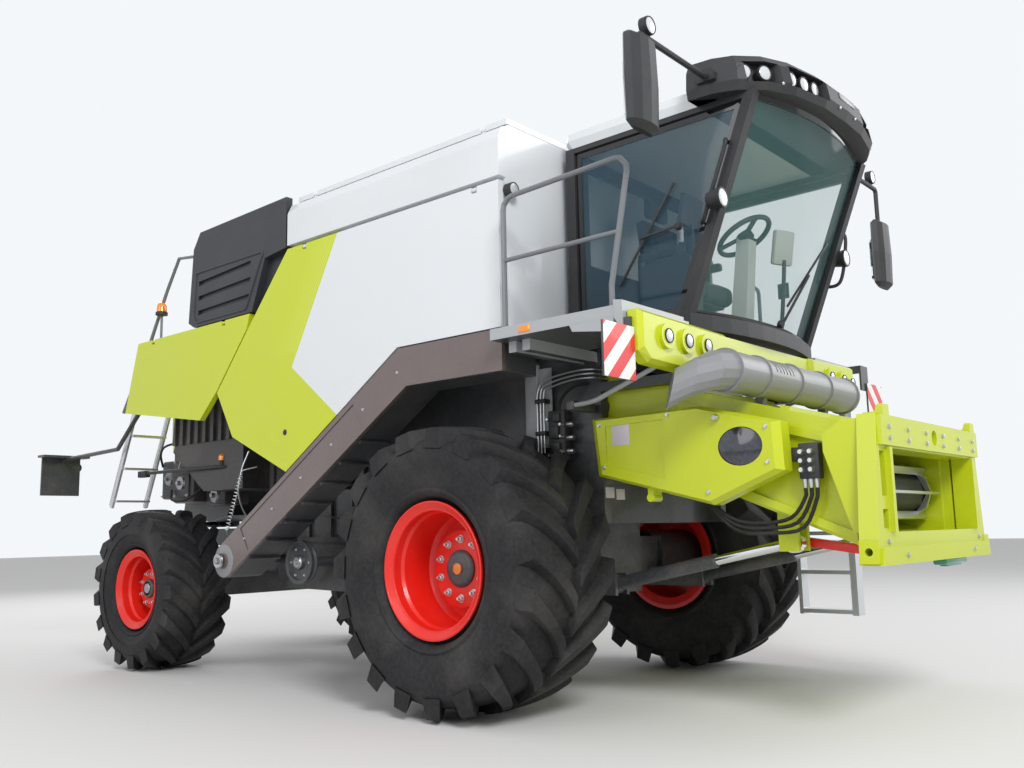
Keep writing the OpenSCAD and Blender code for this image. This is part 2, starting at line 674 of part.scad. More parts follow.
rail_r = 17;
module railings() {
    y = -half_w - 100;
    z1 = 3200;
    rear_y = -1340;
    color(metal_grey) {
        railing(tank_front_x + 120, 1370, 150, y, z1);
        railing(tank_front_x + 20, 690, 0, -y, z1);
        pipe([[-3310, rear_y, tank_top_z - 110], [-3700, rear_y, tank_top_z - 60], [-3900, rear_y, 3450],
            [-4170, rear_y, deck_z + 50], [-4300, rear_y, deck_z - 110], [-4640, rear_y, 2360]],
            [0, 1, 0], rail_r);
        block([-4165, rear_y - 10, deck_z], [-4130, rear_y + 10, deck_z + 70]);
        pipe([[-3980, rear_y, deck_z], [-3980, rear_y, 3330]], [0, 1, 0], 12);
        bar([-3330, rear_y, tank_top_z - 110], [bay_rear_x, rear_y, tank_top_z - 110], rail_r);
        pipe(concat([[-4100, -700, deck_z]], bend([-4100, -700, deck_z], [-4100, -700, 3600],
            [-4100, 1000, 3600], 90),
            bend([-4100, -700, 3600], [-4100, 1000, 3600], [-4100, 1000, deck_z], 90),
            [[-4100, 1000, deck_z]]),
            [1, 0, 0], rail_r);
        bar([-4100, -700, 3280], [-4100, 1000, 3280], rail_r - 3);
    }
}
// A hoop between two posts; the front one leans forward above its foot
module railing(xa, xb, lean, y, z1) {
    foot = [xb, y, deck_top_z];
    knee = [xb, y, deck_top_z + 120];
    head = [xb + lean, y, z1 + lean / 4];
    pipe(concat([[xa, y, deck_top_z]], bend([xa, y, deck_top_z], [xa, y, z1], head, 80),
        bend([xa, y, z1], head, knee, 80), [knee, foot]), [0, 1, 0], rail_r);
    bar([xa, y, 2800], [xb + lean * 0.42, y, 2800], rail_r - 3);
}

// Cab
cab_foot_z = cab_floor_z - 100;
door_axis = [cab_rear_x + pillar_w + 18, cab_y - 8];
door_hinge_zs = [cab_floor_z + 150, cab_top_z - 200];
module door_ear(z) {
    difference() {
        union() {
            translate([door_axis[0], door_axis[1], z]) cylinder(r = ear_r, h = ear_len);
            block([cab_rear_x + pillar_w, door_axis[1] - 8, z],
                [door_axis[0], door_axis[1] + 8, z + ear_len]);
        }
        translate([door_axis[0], door_axis[1], z - 1]) cylinder(r = hinge_r + pin_gap, h = ear_len + 2);
    }
}
module side_window_outline(inset) {
    top = cab_top_z - 35 - inset;
    rise = (top - cab_floor_z) / cab_side_h;
    polygon([[cab_rear_x + pillar_w + inset, cab_floor_z + inset],
        [pillar_x - inset + pillar_lean * inset / cab_side_h, cab_floor_z + inset],
        [pillar_x - inset + pillar_lean * rise, top], [cab_rear_x + pillar_w + inset, top]]);
}
module cab_frame() {
    sill = pillar_x + pillar_w;
    color(paint_dark) {
        block([cab_rear_x, -cab_y, cab_foot_z], [sill, cab_y, cab_floor_z]);
        along_z(cab_foot_z, cab_floor_z) polygon(concat([[sill - 1, -cab_y]],
            [for (k = [-1 : 0.2 : 1.01]) [sill + 140 * (1 - k * k), k * cab_y]], [[sill - 1, cab_y]]));
        for (z = door_hinge_zs) door_ear(z);
        both() block([cab_rear_x, -cab_y, cab_floor_z],
            [cab_rear_x + pillar_w, -cab_y + pillar_w, cab_top_z]);
        both() along_y(-cab_y, -cab_y + pillar_w) polygon([
            [pillar_x, cab_floor_z], [sill, cab_floor_z],
            [sill + pillar_lean, cab_top_z], [pillar_x + pillar_lean, cab_top_z]]);
        both() along_y(-cab_y + 2, -cab_y + pillar_w) polygon([
            [cab_rear_x + pillar_w - 1, cab_top_z - 35], [pillar_x + pillar_lean, cab_top_z - 35],
            [pillar_x + pillar_lean, cab_top_z], [cab_rear_x + pillar_w - 1, cab_top_z]]);
        difference() {
            block([cab_rear_x, -cab_y + pillar_w, cab_floor_z],
                [cab_rear_x + 40, cab_y - pillar_w, cab_top_z]);
            block([cab_rear_x - 1, -cab_y + 200, cab_floor_z + 500],
                [cab_rear_x + 41, cab_y - 200, cab_top_z - 100]);
        }
    }
}
roof_front_x = pillar_x + 330;
module cab_roof() {
    x0 = cab_rear_x - 20;
    function loop(x_in, y_in, z) = at_z(z, [[x0 + x_in, -cab_y + y_in + 60], [x0 + x_in + 60, -cab_y + y_in],
        [roof_front_x, -cab_y + y_in], [roof_front_x, cab_y - y_in],
        [x0 + x_in + 60, cab_y - y_in], [x0 + x_in, cab_y - y_in - 60]]);
    color(paint_white) skin([loop(20, 0, cab_top_z), loop(0, -20, cab_top_z + 50),
        loop(0, -20, cab_top_z + 100),
        loop(50, 50, cab_top_z + roof_t - 20), loop(120, 120, cab_top_z + roof_t)]);
}
// Dark visor in front of the roof, rounded in plan, with three lamp pods on each half
visor_half = 985;
mirror_seat_y = 1010;
left_mirror_drop = 250;
function visor_x(y, grow) = roof_front_x - 140
    + (590 + grow) * pow(1 - pow(min(1, abs(y) / (visor_half + grow / 2)), 2.6), 1 / 2.6);
module cab_visor() {
    inner = cab_y + 22;
    // The wings run back to a slant: their outer corner stands behind the inner one
    slant_x = roof_front_x - 120;
    steps = [-1, -0.985, -0.93, -0.8, -0.6, -0.3, 0, 0.3, 0.6, 0.8, 0.93, 0.985, 1];
    function loop(grow, z) = at_z(z, concat(
        [for (k = steps) let(y = k * (visor_half + grow / 2)) [visor_x(y, grow), y]],
        [[slant_x, inner], [roof_front_x, inner], [roof_front_x, -inner], [slant_x, -inner]]));
    // Lamp pockets on each half, from and to across
    pockets = [[270, 640], [700, 890]];
    pocket_z = [cab_top_z + 46, cab_top_z + 186];
    // Lamps in the pockets: place across and turn outwards
    pocket_lamps = [[340, 5], [455, 9], [570, 14], [750, 24], [845, 36]];
    color(plastic_dark) {
        difference() {
            skin([loop(0, cab_top_z), loop(30, cab_top_z + 60), loop(10, cab_top_z + 170),
                loop(-60, cab_top_z + visor_h - 15), loop(-110, cab_top_z + visor_h)]);
            both() for (q = pockets) along_z(pocket_z[0], pocket_z[1]) polygon(concat(
                [for (k = [0 : 0.25 : 1]) let(y = -q[1] + k * (q[1] - q[0])) [visor_x(y, -90), y]],
                [[roof_front_x + 600, -q[0]], [roof_front_x + 600, -q[1]]]));
        }
        both() for (q = pocket_lamps)
            translate([visor_x(q[0], -100), -q[0], cab_top_z + 116]) rotate([0, 90, -q[1]])
                cylinder(r1 = 40, r2 = 52, h = 64);
        both() block([1640, -mirror_seat_y, cab_top_z + 75], [1760, -940, cab_top_z + 125]);
    }
}
module cab_glass() {
    foot = pillar_x + pillar_w - 30;
    lean = atan(pillar_lean / cab_side_h);
    screen_y = cab_y - pillar_w - 1;
    screen_bulge = 121;
    screen_r = (pow(screen_y, 2) + pow(screen_bulge, 2)) / (2 * screen_bulge);
    color(glass_tint) {
        along_y(-cab_y + 20, -cab_y + 20 + glass_t) side_window_outline(pin_gap);
        along_x(cab_rear_x + 14, cab_rear_x + 14 + glass_t) polygon([
            [-cab_y + 200 + pin_gap, cab_floor_z + 500 + pin_gap],
            [cab_y - 200 - pin_gap, cab_floor_z + 500 + pin_gap],
            [cab_y - 200 - pin_gap, cab_top_z - 100 - pin_gap],
            [-cab_y + 200 + pin_gap, cab_top_z - 100 - pin_gap]]);
        // Front glass: part of a large round tube that leans with the pillars
        intersection() {
            block([foot - 50, -screen_y, cab_floor_z + pin_gap],
                [foot + pillar_lean + 200, screen_y, cab_top_z - pin_gap]);
            translate([foot, 0, cab_floor_z]) rotate([0, lean, 0])
                translate([screen_bulge - screen_r, 0, -200])
                difference() {
                    cylinder(r = screen_r, h = cab_side_h + 500, $fn = 240);
                    translate([0, 0, -1]) cylinder(r = screen_r - glass_t, h = cab_side_h + 502, $fn = 240);
                }
        }
    }
}
module cab_door() {
    color(paint_dark) {
        difference() {
            along_y(cab_y - 40, cab_y) difference() {
                side_window_outline(side_gap + 2);
                side_window_outline(60);
            }
            for (z = door_hinge_zs) block([cab_rear_x, cab_y - 50, z - side_gap],
                [door_axis[0] + ear_r + 10, cab_y + 10, z + ear_len + side_gap]);
        }
        for (z = door_hinge_zs) translate([door_axis[0], door_axis[1], z - side_gap - 2])
            cylinder(r = hinge_r, h = ear_len + 2 * side_gap + 4);
    }
}
module door_glass() {
    color(glass_tint) along_y(cab_y - 26, cab_y - 26 + glass_t) side_window_outline(60 + pin_gap);
}
module seat() {
    z0 = cab_floor_z;
    color(plastic_dark) {
        block([760, -180, z0], [1040, 180, z0 + 250]);
        along_y(-260, 260) polygon([[700, z0 + 250], [1160, z0 + 250], [1190, z0 + 300], [1180, z0 + 390],
            [1100, z0 + 400], [820, z0 + 380], [790, z0 + 420], [730, z0 + 940], [640, z0 + 930],
            [660, z0 + 420]]);
        along_y(-150, 150) polygon([[650, z0 + 925], [735, z0 + 935], [725, z0 + 1120], [640, z0 + 1110]]);
        for (y = [-330, 270]) along_y(y, y + 60) polygon([[720, z0 + 560], [1040, z0 + 560], [1040, z0 + 600],
            [720, z0 + 620]]);
        for (y = [-271, 259]) block([715, y, z0 + 540], [780, y + 12, z0 + 615]);
    }
}
module console() {
    z0 = cab_floor_z;
    color(plastic_dark) {
        along_y(-55, 55) polygon([[1270, z0], [1390, z0], [1450, z0 + 640], [1360, z0 + 670]]);
        translate([1405, 0, z0 + 655]) rotate([0, -30, 0]) {
            cylinder(r = 60, h = 40);
            rotate_extrude() translate([190, 30]) circle(r = 18, $fn = 12);
            for (a = [90, 210, 330]) rotate([0, 0, a]) translate([0, -18, 22]) cube([190, 36, 14]);
        }
        along_y(-480, -300) polygon([[860, z0], [1200, z0], [1230, z0 + 480], [1180, z0 + 520],
            [820, z0 + 470]]);
        block([1180, -400, z0 + 480], [1210, -370, z0 + 720]);
        along_y(-530, -250) polygon([[1170, z0 + 700], [1200, z0 + 700], [1240, z0 + 900], [1215, z0 + 905]]);
        translate([1120, -390, z0 + 480]) cylinder(r1 = 30, r2 = 22, h = 130);
    }
}
module mirrors() {
    x = 1700;
    head_y = 1740;
    z = cab_top_z + 100;
    function head(grow, z) = at_z(z, [for (i = [0 : 11]) let(a = 30 * i)
        [x + (75 + grow) * cos(a) * (cos(a) > 0 ? 1 : 0.55), -head_y + (150 + grow) * sin(a)]]);
    // Arm, head and the small lamp on the arm; the left head hangs lower
    module mirror_side(drop) {
        foot = z - drop;
        skin([head(-50, foot - 575), head(-8, foot - 540), head(0, foot - 300), head(-8, foot - 50),
            head(-55, foot - 20)]);
        pipe(concat([[x, -head_y, foot - 40]],
            bend([x, -head_y, foot - 40], [x, -head_y, z], [x, -mirror_seat_y, z], 30),
            [[x, -mirror_seat_y - 6, z]]), [1, 0, 0], 18);
        rod_y(x, z, -mirror_seat_y - 12, -mirror_seat_y, 22);
        block([x - 8, -head_y + 92, z + 10], [x + 8, -head_y + 108, z + 45]);
        rod_x(x - 25, -head_y + 100, z + 76, 42, 55);
    }
    color(plastic_dark) {
        mirror_side(0);
        mirror([0, 1, 0]) mirror_side(left_mirror_drop);
    }
}
// Single lamps: on the pillars, the tank's front corner, the marker boards, and the two beacons
module lamps() {
    pillar_at = pillar_x + pillar_w / 2 + pillar_lean * 0.5;
    color(metal_grey) both() {
        rod_y(pillar_at, cab_floor_z + cab_side_h / 2, -cab_y - 40, -cab_y, 22);
        translate([pillar_at - 20, -cab_y - 60, cab_floor_z + cab_side_h / 2]) rotate([0, 90, 0])
            cylinder(r1 = 50, r2 = 66, h = 90);
    }
    color(metal_grey) for (y = [-half_w + 90, tank_left_w - 90]) rod_x(tank_front_x, y, 3330, 50, 48);
    color([0.9, 0.45, 0.1]) both() translate([roof_front_x - 100, -620, cab_top_z + roof_t - 5 + 5]) {
        cylinder(r = 30, h = 60);
        cylinder(r = 55, h = 12);
        translate([0, 0, 60]) cylinder(r1 = 52, r2 = 44, h = 80);
    }
    color([0.8, 0.1, 0.08]) both() for (y = [-1180, -1440])
        rod_x(-rear_reach, y, 1900, 20, 48);
}
module lamp_panel() {
    x0 = platform_front_x + 10;
    module half(outer) {
        function face(x, grow) = [for (q = [[-outer + grow, 2110 + grow], [-outer + 90, 2050 + grow],
            [-700, 2030 + grow], [-620 - grow, 2120], [-620 - grow, 2330 - grow],
            [-outer + grow, 2345 - grow]])
            [x, q[0], q[1]]];
        function back(l) = [for (i = [len(l) - 1 : -1 : 0]) l[i]];
        skin([back(face(x0 + 90, 22)), back(face(x0 + 60, 0)), back(face(x0, 0))]);
        for (y = [-910, -1130, -1350]) if (-y < outer - 60) rod_x(x0 + 80, y, 2215, 34, 72);
    }
    color(paint_green) {
        half(1590);
        mirror([0, 1, 0]) half(1380);
        block([x0, -630, 2230], [x0 + 60, 630, 2320]);
        for (y = [-1300, -1000, 940, 1240])
            block([platform_front_x, y, deck_top_z - 70], [x0 + 1, y + 60, deck_top_z - 40]);
    }
}

// Rear ladder with its handrail, and the marker boards
module rear_ladder() {
    color(metal_grey) {
        for (y = [-1180, -960]) {
            bar([-3560, y, deck_z + 8], [-3230, y, tank_top_z - 60], 16);
            block([-3580, y - 16, deck_z], [-3540, y + 16, deck_z + 12]);
            block([-3240, y - 10, tank_top_z - 90], [bay_rear_x, y + 10, tank_top_z - 70]);
        }
        for (i = [1 : 2]) block([-3575 + 110 * i, -1180, deck_z + 260 * i],
            [-3505 + 110 * i, -960, deck_z + 260 * i + 20]);
        bar([-4980, -1250, 1450], [-4300, -1250, 2980], 20);
        bar([-4980, -900, 1450], [-4300, -900, 2980], 20);
        for (i = [0 : 4]) block([-4960 + 140 * i, -1250, 1500 + 315 * i],
            [-4880 + 140 * i, -900, 1520 + 315 * i]);
        for (y = [-1250, -900]) {
            block([-4345, y - 12, 2870], [hood_rear_x, y + 12, 2910]);
            block([-4525, y - 12, 2470], [hood_rear_x, y + 12, 2510]);
        }
    }
}
module marker_boards() {
    y0 = 1340;
    rear = -rear_reach + 20;
    color(paint_dark) both() {
        block([hood_rear_x - 20, -1366, tank_floor_z + 10], [hood_rear_x, -1310, tank_floor_z + 110]);
        pipe([[hood_rear_x - 18, -y0, tank_floor_z + 50], [-4730, -y0, 2010], [rear + 10, -y0, 1975]],
            [0, 1, 0], 22);
        block([rear, -1560, 1600], [rear + 20, -1160, 2000]);
        block([rear, -1600, 1990], [rear + 150, -1120, 2014]);
    }
    // Boards in front, on straps from the walkways
    color(paint_dark) {
        block([1490, -1888, 1940], [1504, -1593, 2240]);
        block([platform_front_x, -1615, 2180], [1491, -1592, 2300]);
        block([1560, 1580, 1940], [1574, 1880, 2240]);
        block([platform_front_x, 1500, 2315], [1561, 1524, 2375]);
        block([1546, 1500, 2180], [1561, 1640, 2375]);
    }
}

// Feeder house, drawn level with the channel sloping down to the adapter
mouth_w = 1420;
mouth_z0 = adapter_z + 170;
mouth_z1 = mouth_z0 + 450;
tilt_z = adapter_z + adapter_h - 90;
feeder_x1 = adapter_x - adapter_t - 12;
// Height of the feeder's upper sheet at a place along X
function feeder_top(x) = pivot_z + 240 + (x - pivot_x) * (1680 - pivot_z - 240) / (feeder_x1 - pivot_x);
module feeder_house() {
    y = feeder_w / 2;
    x1 = feeder_x1;
    color(paint_green) difference() {
        union() {
            along_y(-y, y) polygon([[pivot_x, pivot_z + 240], [x1, 1680], [x1, 1000],
                [pivot_x, pivot_z - 240]]);
            rod_y(pivot_x, pivot_z, -y, y, 240);
            block([x1 - 60, -y - 30, mouth_z0 - 70], [x1, y + 30, tilt_z + 80]);
            both() for (dy = clevis_dy)
                block([lift_eye[0] - 60, -lift_y + dy, lift_eye[2] - 50],
                [lift_eye[0] + 60, -lift_y + dy + 30, 1300]);
            for (x = [1150, 1900, 2200]) along_y(-y + 30, y - 30) polygon([[x, feeder_top(x) - 5],
                [x + 60, feeder_top(x + 60) - 5], [x + 60, feeder_top(x + 60) + 22],
                [x, feeder_top(x) + 22]]);
            both() along_y(-y - 24, -y + 1) polygon([[1250, 1930], [2330, 1612], [2330, 1560], [1250, 1875]]);
            both() along_y(-y - 24, -y + 1) polygon([[1250, 1530], [2330, 1100], [2330, 1050], [1250, 1480]]);
        }
        block([x1 - 61, -mouth_w / 2, mouth_z0], [x1 + 1, mouth_w / 2, mouth_z1]);
        along_y(-y + feeder_t, y - feeder_t)
            polygon([[pivot_x, pivot_z + 210], [x1 - 60, 1650], [x1 - 60, 1030],
            [pivot_x, pivot_z - 210]]);
        rod_y(pivot_x, pivot_z, -y + feeder_t, y - feeder_t, 210);
        rod_y(pivot_x, pivot_z, -y - 1, y + 1, 60 + pin_gap);
    }
    color(paint_dark) {
        rod_x(x1 - 20, 0, tilt_z, adapter_t - 20, tilt_r);
        both() rod_y(lift_eye[0], lift_eye[2], -lift_y - 74, -lift_y + 74, lift_pin_r);
    }
}
module feeder_guards() {
    y_in = -core_y - side_gap;
    outline = [[740, 1480], [700, 1850], [1490, 1860], [2000, 1730], [2010, 1450], [1560, 1270]];
    middle = [1400, 1600];
    function shrunk(k) = [for (q = outline) middle + k * (q - middle)];
    color(paint_green) both() {
        difference() {
            skin([at_y(-940, shrunk(0.93)), at_y(-905, outline), at_y(y_in, outline)]);
            translate([1760, -942, 1600]) scale([1.25, 1, 1]) rotate([-90, 0, 0]) cylinder(r = 112, h = 50);
            along_y(-941, -932) polygon([[830, 1540], [820, 1790], [1250, 1800], [1250, 1440]]);
        }
        block([1200, y_in - 1, 1600], [1400, -feeder_w / 2, 1700]);
        block([1700, y_in - 1, 1400], [1850, -feeder_w / 2, 1480]);
        rod_y(1120, 1330, -905, y_in, 26);
        block([1100, -900, 1330], [1140, y_in, 1500]);
    }
}
module dust_tube() {
    x = 1720;
    z = 2040;
    color(plastic_dark) {
        difference() {
            union() {
                rod_y(x, z, -1000, 700, 120);
                for (y = [-1000, -640, -200, 250, 690]) rod_y(x, z, y - 8, y + 8, 130);
            }
            for (k = [0 : 5]) block([x + 40, -560 + 45 * k, z + 20], [x + 140, -545 + 45 * k, z + 140]);
        }
        // Elbow that turns down to the rear on the right
        pipe([[x, -998, z], [x - 20, -1130, z - 15], [x - 90, -1230, z - 60], [x - 190, -1290, z - 120]],
            [0.3, 0, 1], 118, 14);
        for (y = [-500, 420]) along_y(y, y + 50) polygon([[1650, feeder_top(1650)], [1700, feeder_top(1700)],
            [1740, 2040], [1660, 2040]]);
    }
}
module feed_chain() {
    y = feeder_w / 2 - feeder_t;
    x = 2150;
    z = 1340;
    color(metal_grey) {
        rod_y(x, z, -y, y, 130, 10);
        // Chain strands, with the slats across them
        for (k = [-0.8, 0.8]) rod_y(x, z, k * y - 14, k * y + 14, 168, 10);
        for (a = [0 : 60 : 300]) translate([x, 0, z]) rotate([0, a, 0])
            block([140, -y + 20, -16], [190, y - 20, 0]);
    }
}
module adapter() {
    x0 = adapter_x - adapter_t;
    z1 = adapter_z + adapter_h;
    edge = (adapter_w - adapter_top_w) / 2 / adapter_h;
    color(paint_green) difference() {
        union() {
            along_x(x0, adapter_x - 25) difference() {
                polygon([[-adapter_w / 2, adapter_z], [adapter_w / 2, adapter_z], [adapter_top_w / 2, z1],
                    [-adapter_top_w / 2, z1]]);
                translate([-mouth_w / 2, mouth_z0]) square([mouth_w, mouth_z1 - mouth_z0]);
            }
            // Top beam, foot beam and the frame round the mouth stand out in front
            block([x0, -adapter_top_w / 2, z1 - 170], [adapter_x, adapter_top_w / 2, z1 - 10]);
            along_x(x0, adapter_x) polygon([[-adapter_w / 2, adapter_z], [adapter_w / 2, adapter_z],
                [adapter_w / 2 - 90 * edge, adapter_z + 90], [-adapter_w / 2 + 90 * edge, adapter_z + 90]]);
            both() block([adapter_x - 60, -mouth_w / 2 - 40, mouth_z0], [adapter_x, -mouth_w / 2, mouth_z1]);
            both() block([x0 + 15, -adapter_w / 2 - 30, adapter_z + 10],
                [adapter_x - 15, -adapter_w / 2 + 60, adapter_z + 130]);
            // Side plates reach back at their heads
            both() along_y(-adapter_top_w / 2 + 5, -adapter_top_w / 2 + 25) polygon([[x0 + 1, z1 - 20],
                [x0 - 90, z1 - 20], [x0 - 200, z1 - 90], [x0 - 200, z1 - 190], [x0 - 60, adapter_z + 170],
                [x0 + 1, adapter_z + 170]]);
            both() along_y(-adapter_top_w / 2 + 5, -adapter_top_w / 2 + 90) polygon([[x0 - 200, z1 - 90],
                [x0 - 200, z1 - 190], [x0 - 182, z1 - 190], [x0 - 182, z1 - 90]]);
            // Hooks on the top beam
            both() along_y(-adapter_top_w / 2 + 40, -adapter_top_w / 2 + 130) polygon([[x0 + 20, z1 - 20],
                [adapter_x, z1 - 20], [adapter_x, z1 + 50], [adapter_x - 30, z1 + 50],
                [adapter_x - 45, z1 + 10],
                [x0 + 20, z1 + 10]]);
        }
        // Pockets beside the mouth, square windows near the foot
        both() block([adapter_x - 90, -mouth_w / 2 - 130, mouth_z0 + 190],
            [adapter_x + 1, -mouth_w / 2 - 60, mouth_z1 - 20]);
        both() block([x0 - 1, -mouth_w / 2 - 135, mouth_z0 + 20],
            [adapter_x + 1, -mouth_w / 2 - 65, mouth_z0 + 120]);
        rod_x(x0 - 1, 0, tilt_z, adapter_t + 2, tilt_r + pin_gap);
        both() rod_y((x0 + adapter_x) / 2, adapter_z + 70, -adapter_w / 2 - 31, -adapter_w / 2 + 120, lock_r);
    }
}

// Lift cylinders
lift_y = 560;
lift_base = [600, -lift_y, front_r - 132];
lift_eye = [1880, -lift_y, 1045];
lift_pin_r = 30;
// Near faces of the two walls of a clevis, beside the middle of its cylinder
clevis_dy = [-80, 50];
module lift_barrel() {
    d = unit(lift_eye - lift_base);
    color(paint_dark) difference() {
        union() {
            bar(lift_base + d * 40, lift_base + d * 775, 44);
            rod_y(lift_base[0], lift_base[2], -lift_y - 40, -lift_y + 40, 60);
        }
        bar(lift_base + d * 110, lift_base + d * 840, 30 + pin_gap);
        rod_y(lift_base[0], lift_base[2], -lift_y - 41, -lift_y + 41, lift_pin_r + pin_gap);
    }
}
module lift_rod() {
    d = unit(lift_eye - lift_base);
    l = norm(lift_eye - lift_base);
    color(metal_grey) difference() {
        union() {
            bar(lift_base + d * 580, lift_eye - d * 40, 30);
            rod_y(lift_eye[0], lift_eye[2], -lift_y - 30, -lift_y + 30, 60);
        }
        rod_y(lift_eye[0], lift_eye[2], -lift_y - 41, -lift_y + 41, 44);
    }
}

// Side panels, drawn on the right
module panel_main(top_corners, hinge) {
    color(paint_white) {
        difference() {
            along_y(-half_w, -half_w + panel_t) polygon(concat(top_corners, [
                [-2330, 2810], [-2750, 2340], [-2510, 1950], [-1780, elev_edge(-1780) + 12],
                [elev_top[0] - 15, tank_floor_z], [tank_front_x - 5, tank_floor_z]]));
            for (x = panel_hinge_xs) hinge_cut(x, -hinge[0], hinge[1]);
        }
        for (x = panel_hinge_xs) hinge_pin(x, -hinge[0], hinge[1]);
    }
}
top_right = [[tank_front_x - 5, hinge_z], [tank_rear_x + 5, hinge_z]];
top_left = [[tank_front_x - 5, left_hinge_z], [-2219, left_hinge_z]];
module panel_rear() {
    color(paint_green) {
        difference() {
            along_y(-half_w, -half_w + panel_t) polygon([
                [-2345, 2820], [-2300, deck_z], [-4100, deck_z], [-4300, 2310], [-3010, 2130],
                [-2765, 2350]]);
            for (x = rear_hinge_xs) hinge_cut(x, -rear_hinge[0], rear_hinge[1]);
        }
        for (x = rear_hinge_xs) hinge_pin(x, -rear_hinge[0], rear_hinge[1]);
    }
}

module unloading_auger() {
    foot_z = left_hinge_z + 50 + pin_gap;
    color(paint_white) difference() {
        translate([turret[0], turret[1], 0]) {
            translate([0, 0, foot_z]) cylinder(r = auger_r, h = auger_z - foot_z);
            translate([0, 0, auger_z]) sphere(r = auger_r);
            translate([0, 0, auger_z]) rotate([0, -90, 0]) cylinder(r = auger_r, h = auger_len);
        }
        translate([turret[0], turret[1], foot_z - 1]) cylinder(r = 60 + pin_gap, h = 160);
    }
}
module access_ladder() {
    color(metal_grey) {
        difference() {
            union() {
                block([ladder_x - 450, ladder_y - 60, 450], [ladder_x - 420, ladder_y + 60, 2300]);
                block([ladder_x - 25, ladder_y - 60, 450], [ladder_x + 25, ladder_y + 60, 2300]);
                for (i = [0 : 5]) block([ladder_x - 421, ladder_y - 60, 460 + 300 * i],
                    [ladder_x - 24, ladder_y + 60, 490 + 300 * i]);
            }
            translate([ladder_x, ladder_y, deck_top_z - 490]) cylinder(r = 14 + pin_gap, h = 600);
        }
    }
}

place() frame_rails();
place() front_axle();
place() rear_axle();
place() body_core();
place() engine();
place() grain_tank();
place() engine_covers();
place() rear_hood();
place() chopper();
place() elevator();
place() elevator_cover();
place() drive_pulleys();
place() platforms();
place() railings();
place() cab_frame();
place() cab_roof();
place() cab_visor();
place() cab_glass();
place() seat();
place() console();
place() mirrors();
place() lamps();
place() lamp_panel();
place() rear_ladder();
place() marker_boards();
place() tow_hitch();
place() front_tyre();  // tyre_front_right
place() front_rim();  // rim_front_right
place() mirror([0, 1, 0]) front_tyre();  // tyre_front_left
place() mirror([0, 1, 0]) front_rim();  // rim_front_left
place() rear_tyre();  // tyre_rear_right
place() rear_rim();  // rim_rear_right
place() mirror([0, 1, 0]) rear_tyre();  // tyre_rear_left
place() mirror([0, 1, 0]) rear_rim();  // rim_rear_left
place() knuckle();  // knuckle_right
place() mirror([0, 1, 0]) knuckle();  // knuckle_left
place() feeder_house();
place() feeder_guards();
place() dust_tube();
place() feed_chain();
place() adapter();
place() lift_barrel();  // lift_barrel_right
place() lift_rod();  // lift_rod_right
place() mirror([0, 1, 0]) lift_barrel();  // lift_barrel_left
place() mirror([0, 1, 0]) lift_rod();  // lift_rod_left
place() cab_door();
place() door_glass();
place() tank_lid(-1);  // tank_lid_right
place() tank_lid(1);  // tank_lid_left
place() panel_main(top_right, panel_hinge);  // side_panel_right
place() mirror([0, 1, 0])  // side_panel_left
    panel_main(top_left, left_panel_hinge);
place() panel_rear();  // rear_panel_right
place() mirror([0, 1, 0]) panel_rear();  // rear_panel_left
place() unloading_auger();
place() access_ladder();
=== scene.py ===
# %% [markdown]
# A combine harvester, dressed for a studio picture.
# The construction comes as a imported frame: every solid is already at its place and size, in metres.
# This lesson adds what a solid can't hold: paint, rubber, glass, small fasteners, lenses, hoses and trim.
# X points forward, Y to the machine's left and Z up, and the ground is at z = 0.

# %% Load the frame
import bpy
import bmesh
from math import cos, degrees, hypot, pi, radians, sin
from mathutils import Matrix, Vector


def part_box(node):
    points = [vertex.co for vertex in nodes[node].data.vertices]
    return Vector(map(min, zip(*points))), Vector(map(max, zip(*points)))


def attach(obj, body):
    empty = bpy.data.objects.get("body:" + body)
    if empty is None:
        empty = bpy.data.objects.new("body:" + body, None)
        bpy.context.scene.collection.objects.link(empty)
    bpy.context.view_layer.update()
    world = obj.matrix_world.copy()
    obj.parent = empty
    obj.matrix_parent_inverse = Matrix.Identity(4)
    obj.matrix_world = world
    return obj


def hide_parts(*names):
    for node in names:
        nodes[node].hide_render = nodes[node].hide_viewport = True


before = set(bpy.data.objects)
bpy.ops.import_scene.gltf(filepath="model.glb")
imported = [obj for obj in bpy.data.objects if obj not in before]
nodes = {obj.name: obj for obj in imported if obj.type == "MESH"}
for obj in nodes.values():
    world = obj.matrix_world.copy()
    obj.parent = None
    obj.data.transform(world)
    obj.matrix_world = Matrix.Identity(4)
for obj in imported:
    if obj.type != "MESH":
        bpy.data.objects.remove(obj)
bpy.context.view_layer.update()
print("solids in the frame:", len(nodes))

# %% [markdown]
# The photograph is taken from ahead of the right front wheel, from low down, and looks up a little.
# The camera stands where the picture's own lines say: 4.4 m in front of the front axle, 6 m to the right
# of the machine's middle line and a little over a metre up.
# The lens is given as the focal length in pixels of a picture 1024 wide, on a 36 mm film.

# %% Camera
PICTURE_W = 1024
FOCAL_PIXELS = 970.5
FILM_MM = 36.0
EYE = Vector((6.102, -5.9955, 1.1522))
YAW, PITCH, ROLL = 2.2826, 0.149, -0.0204


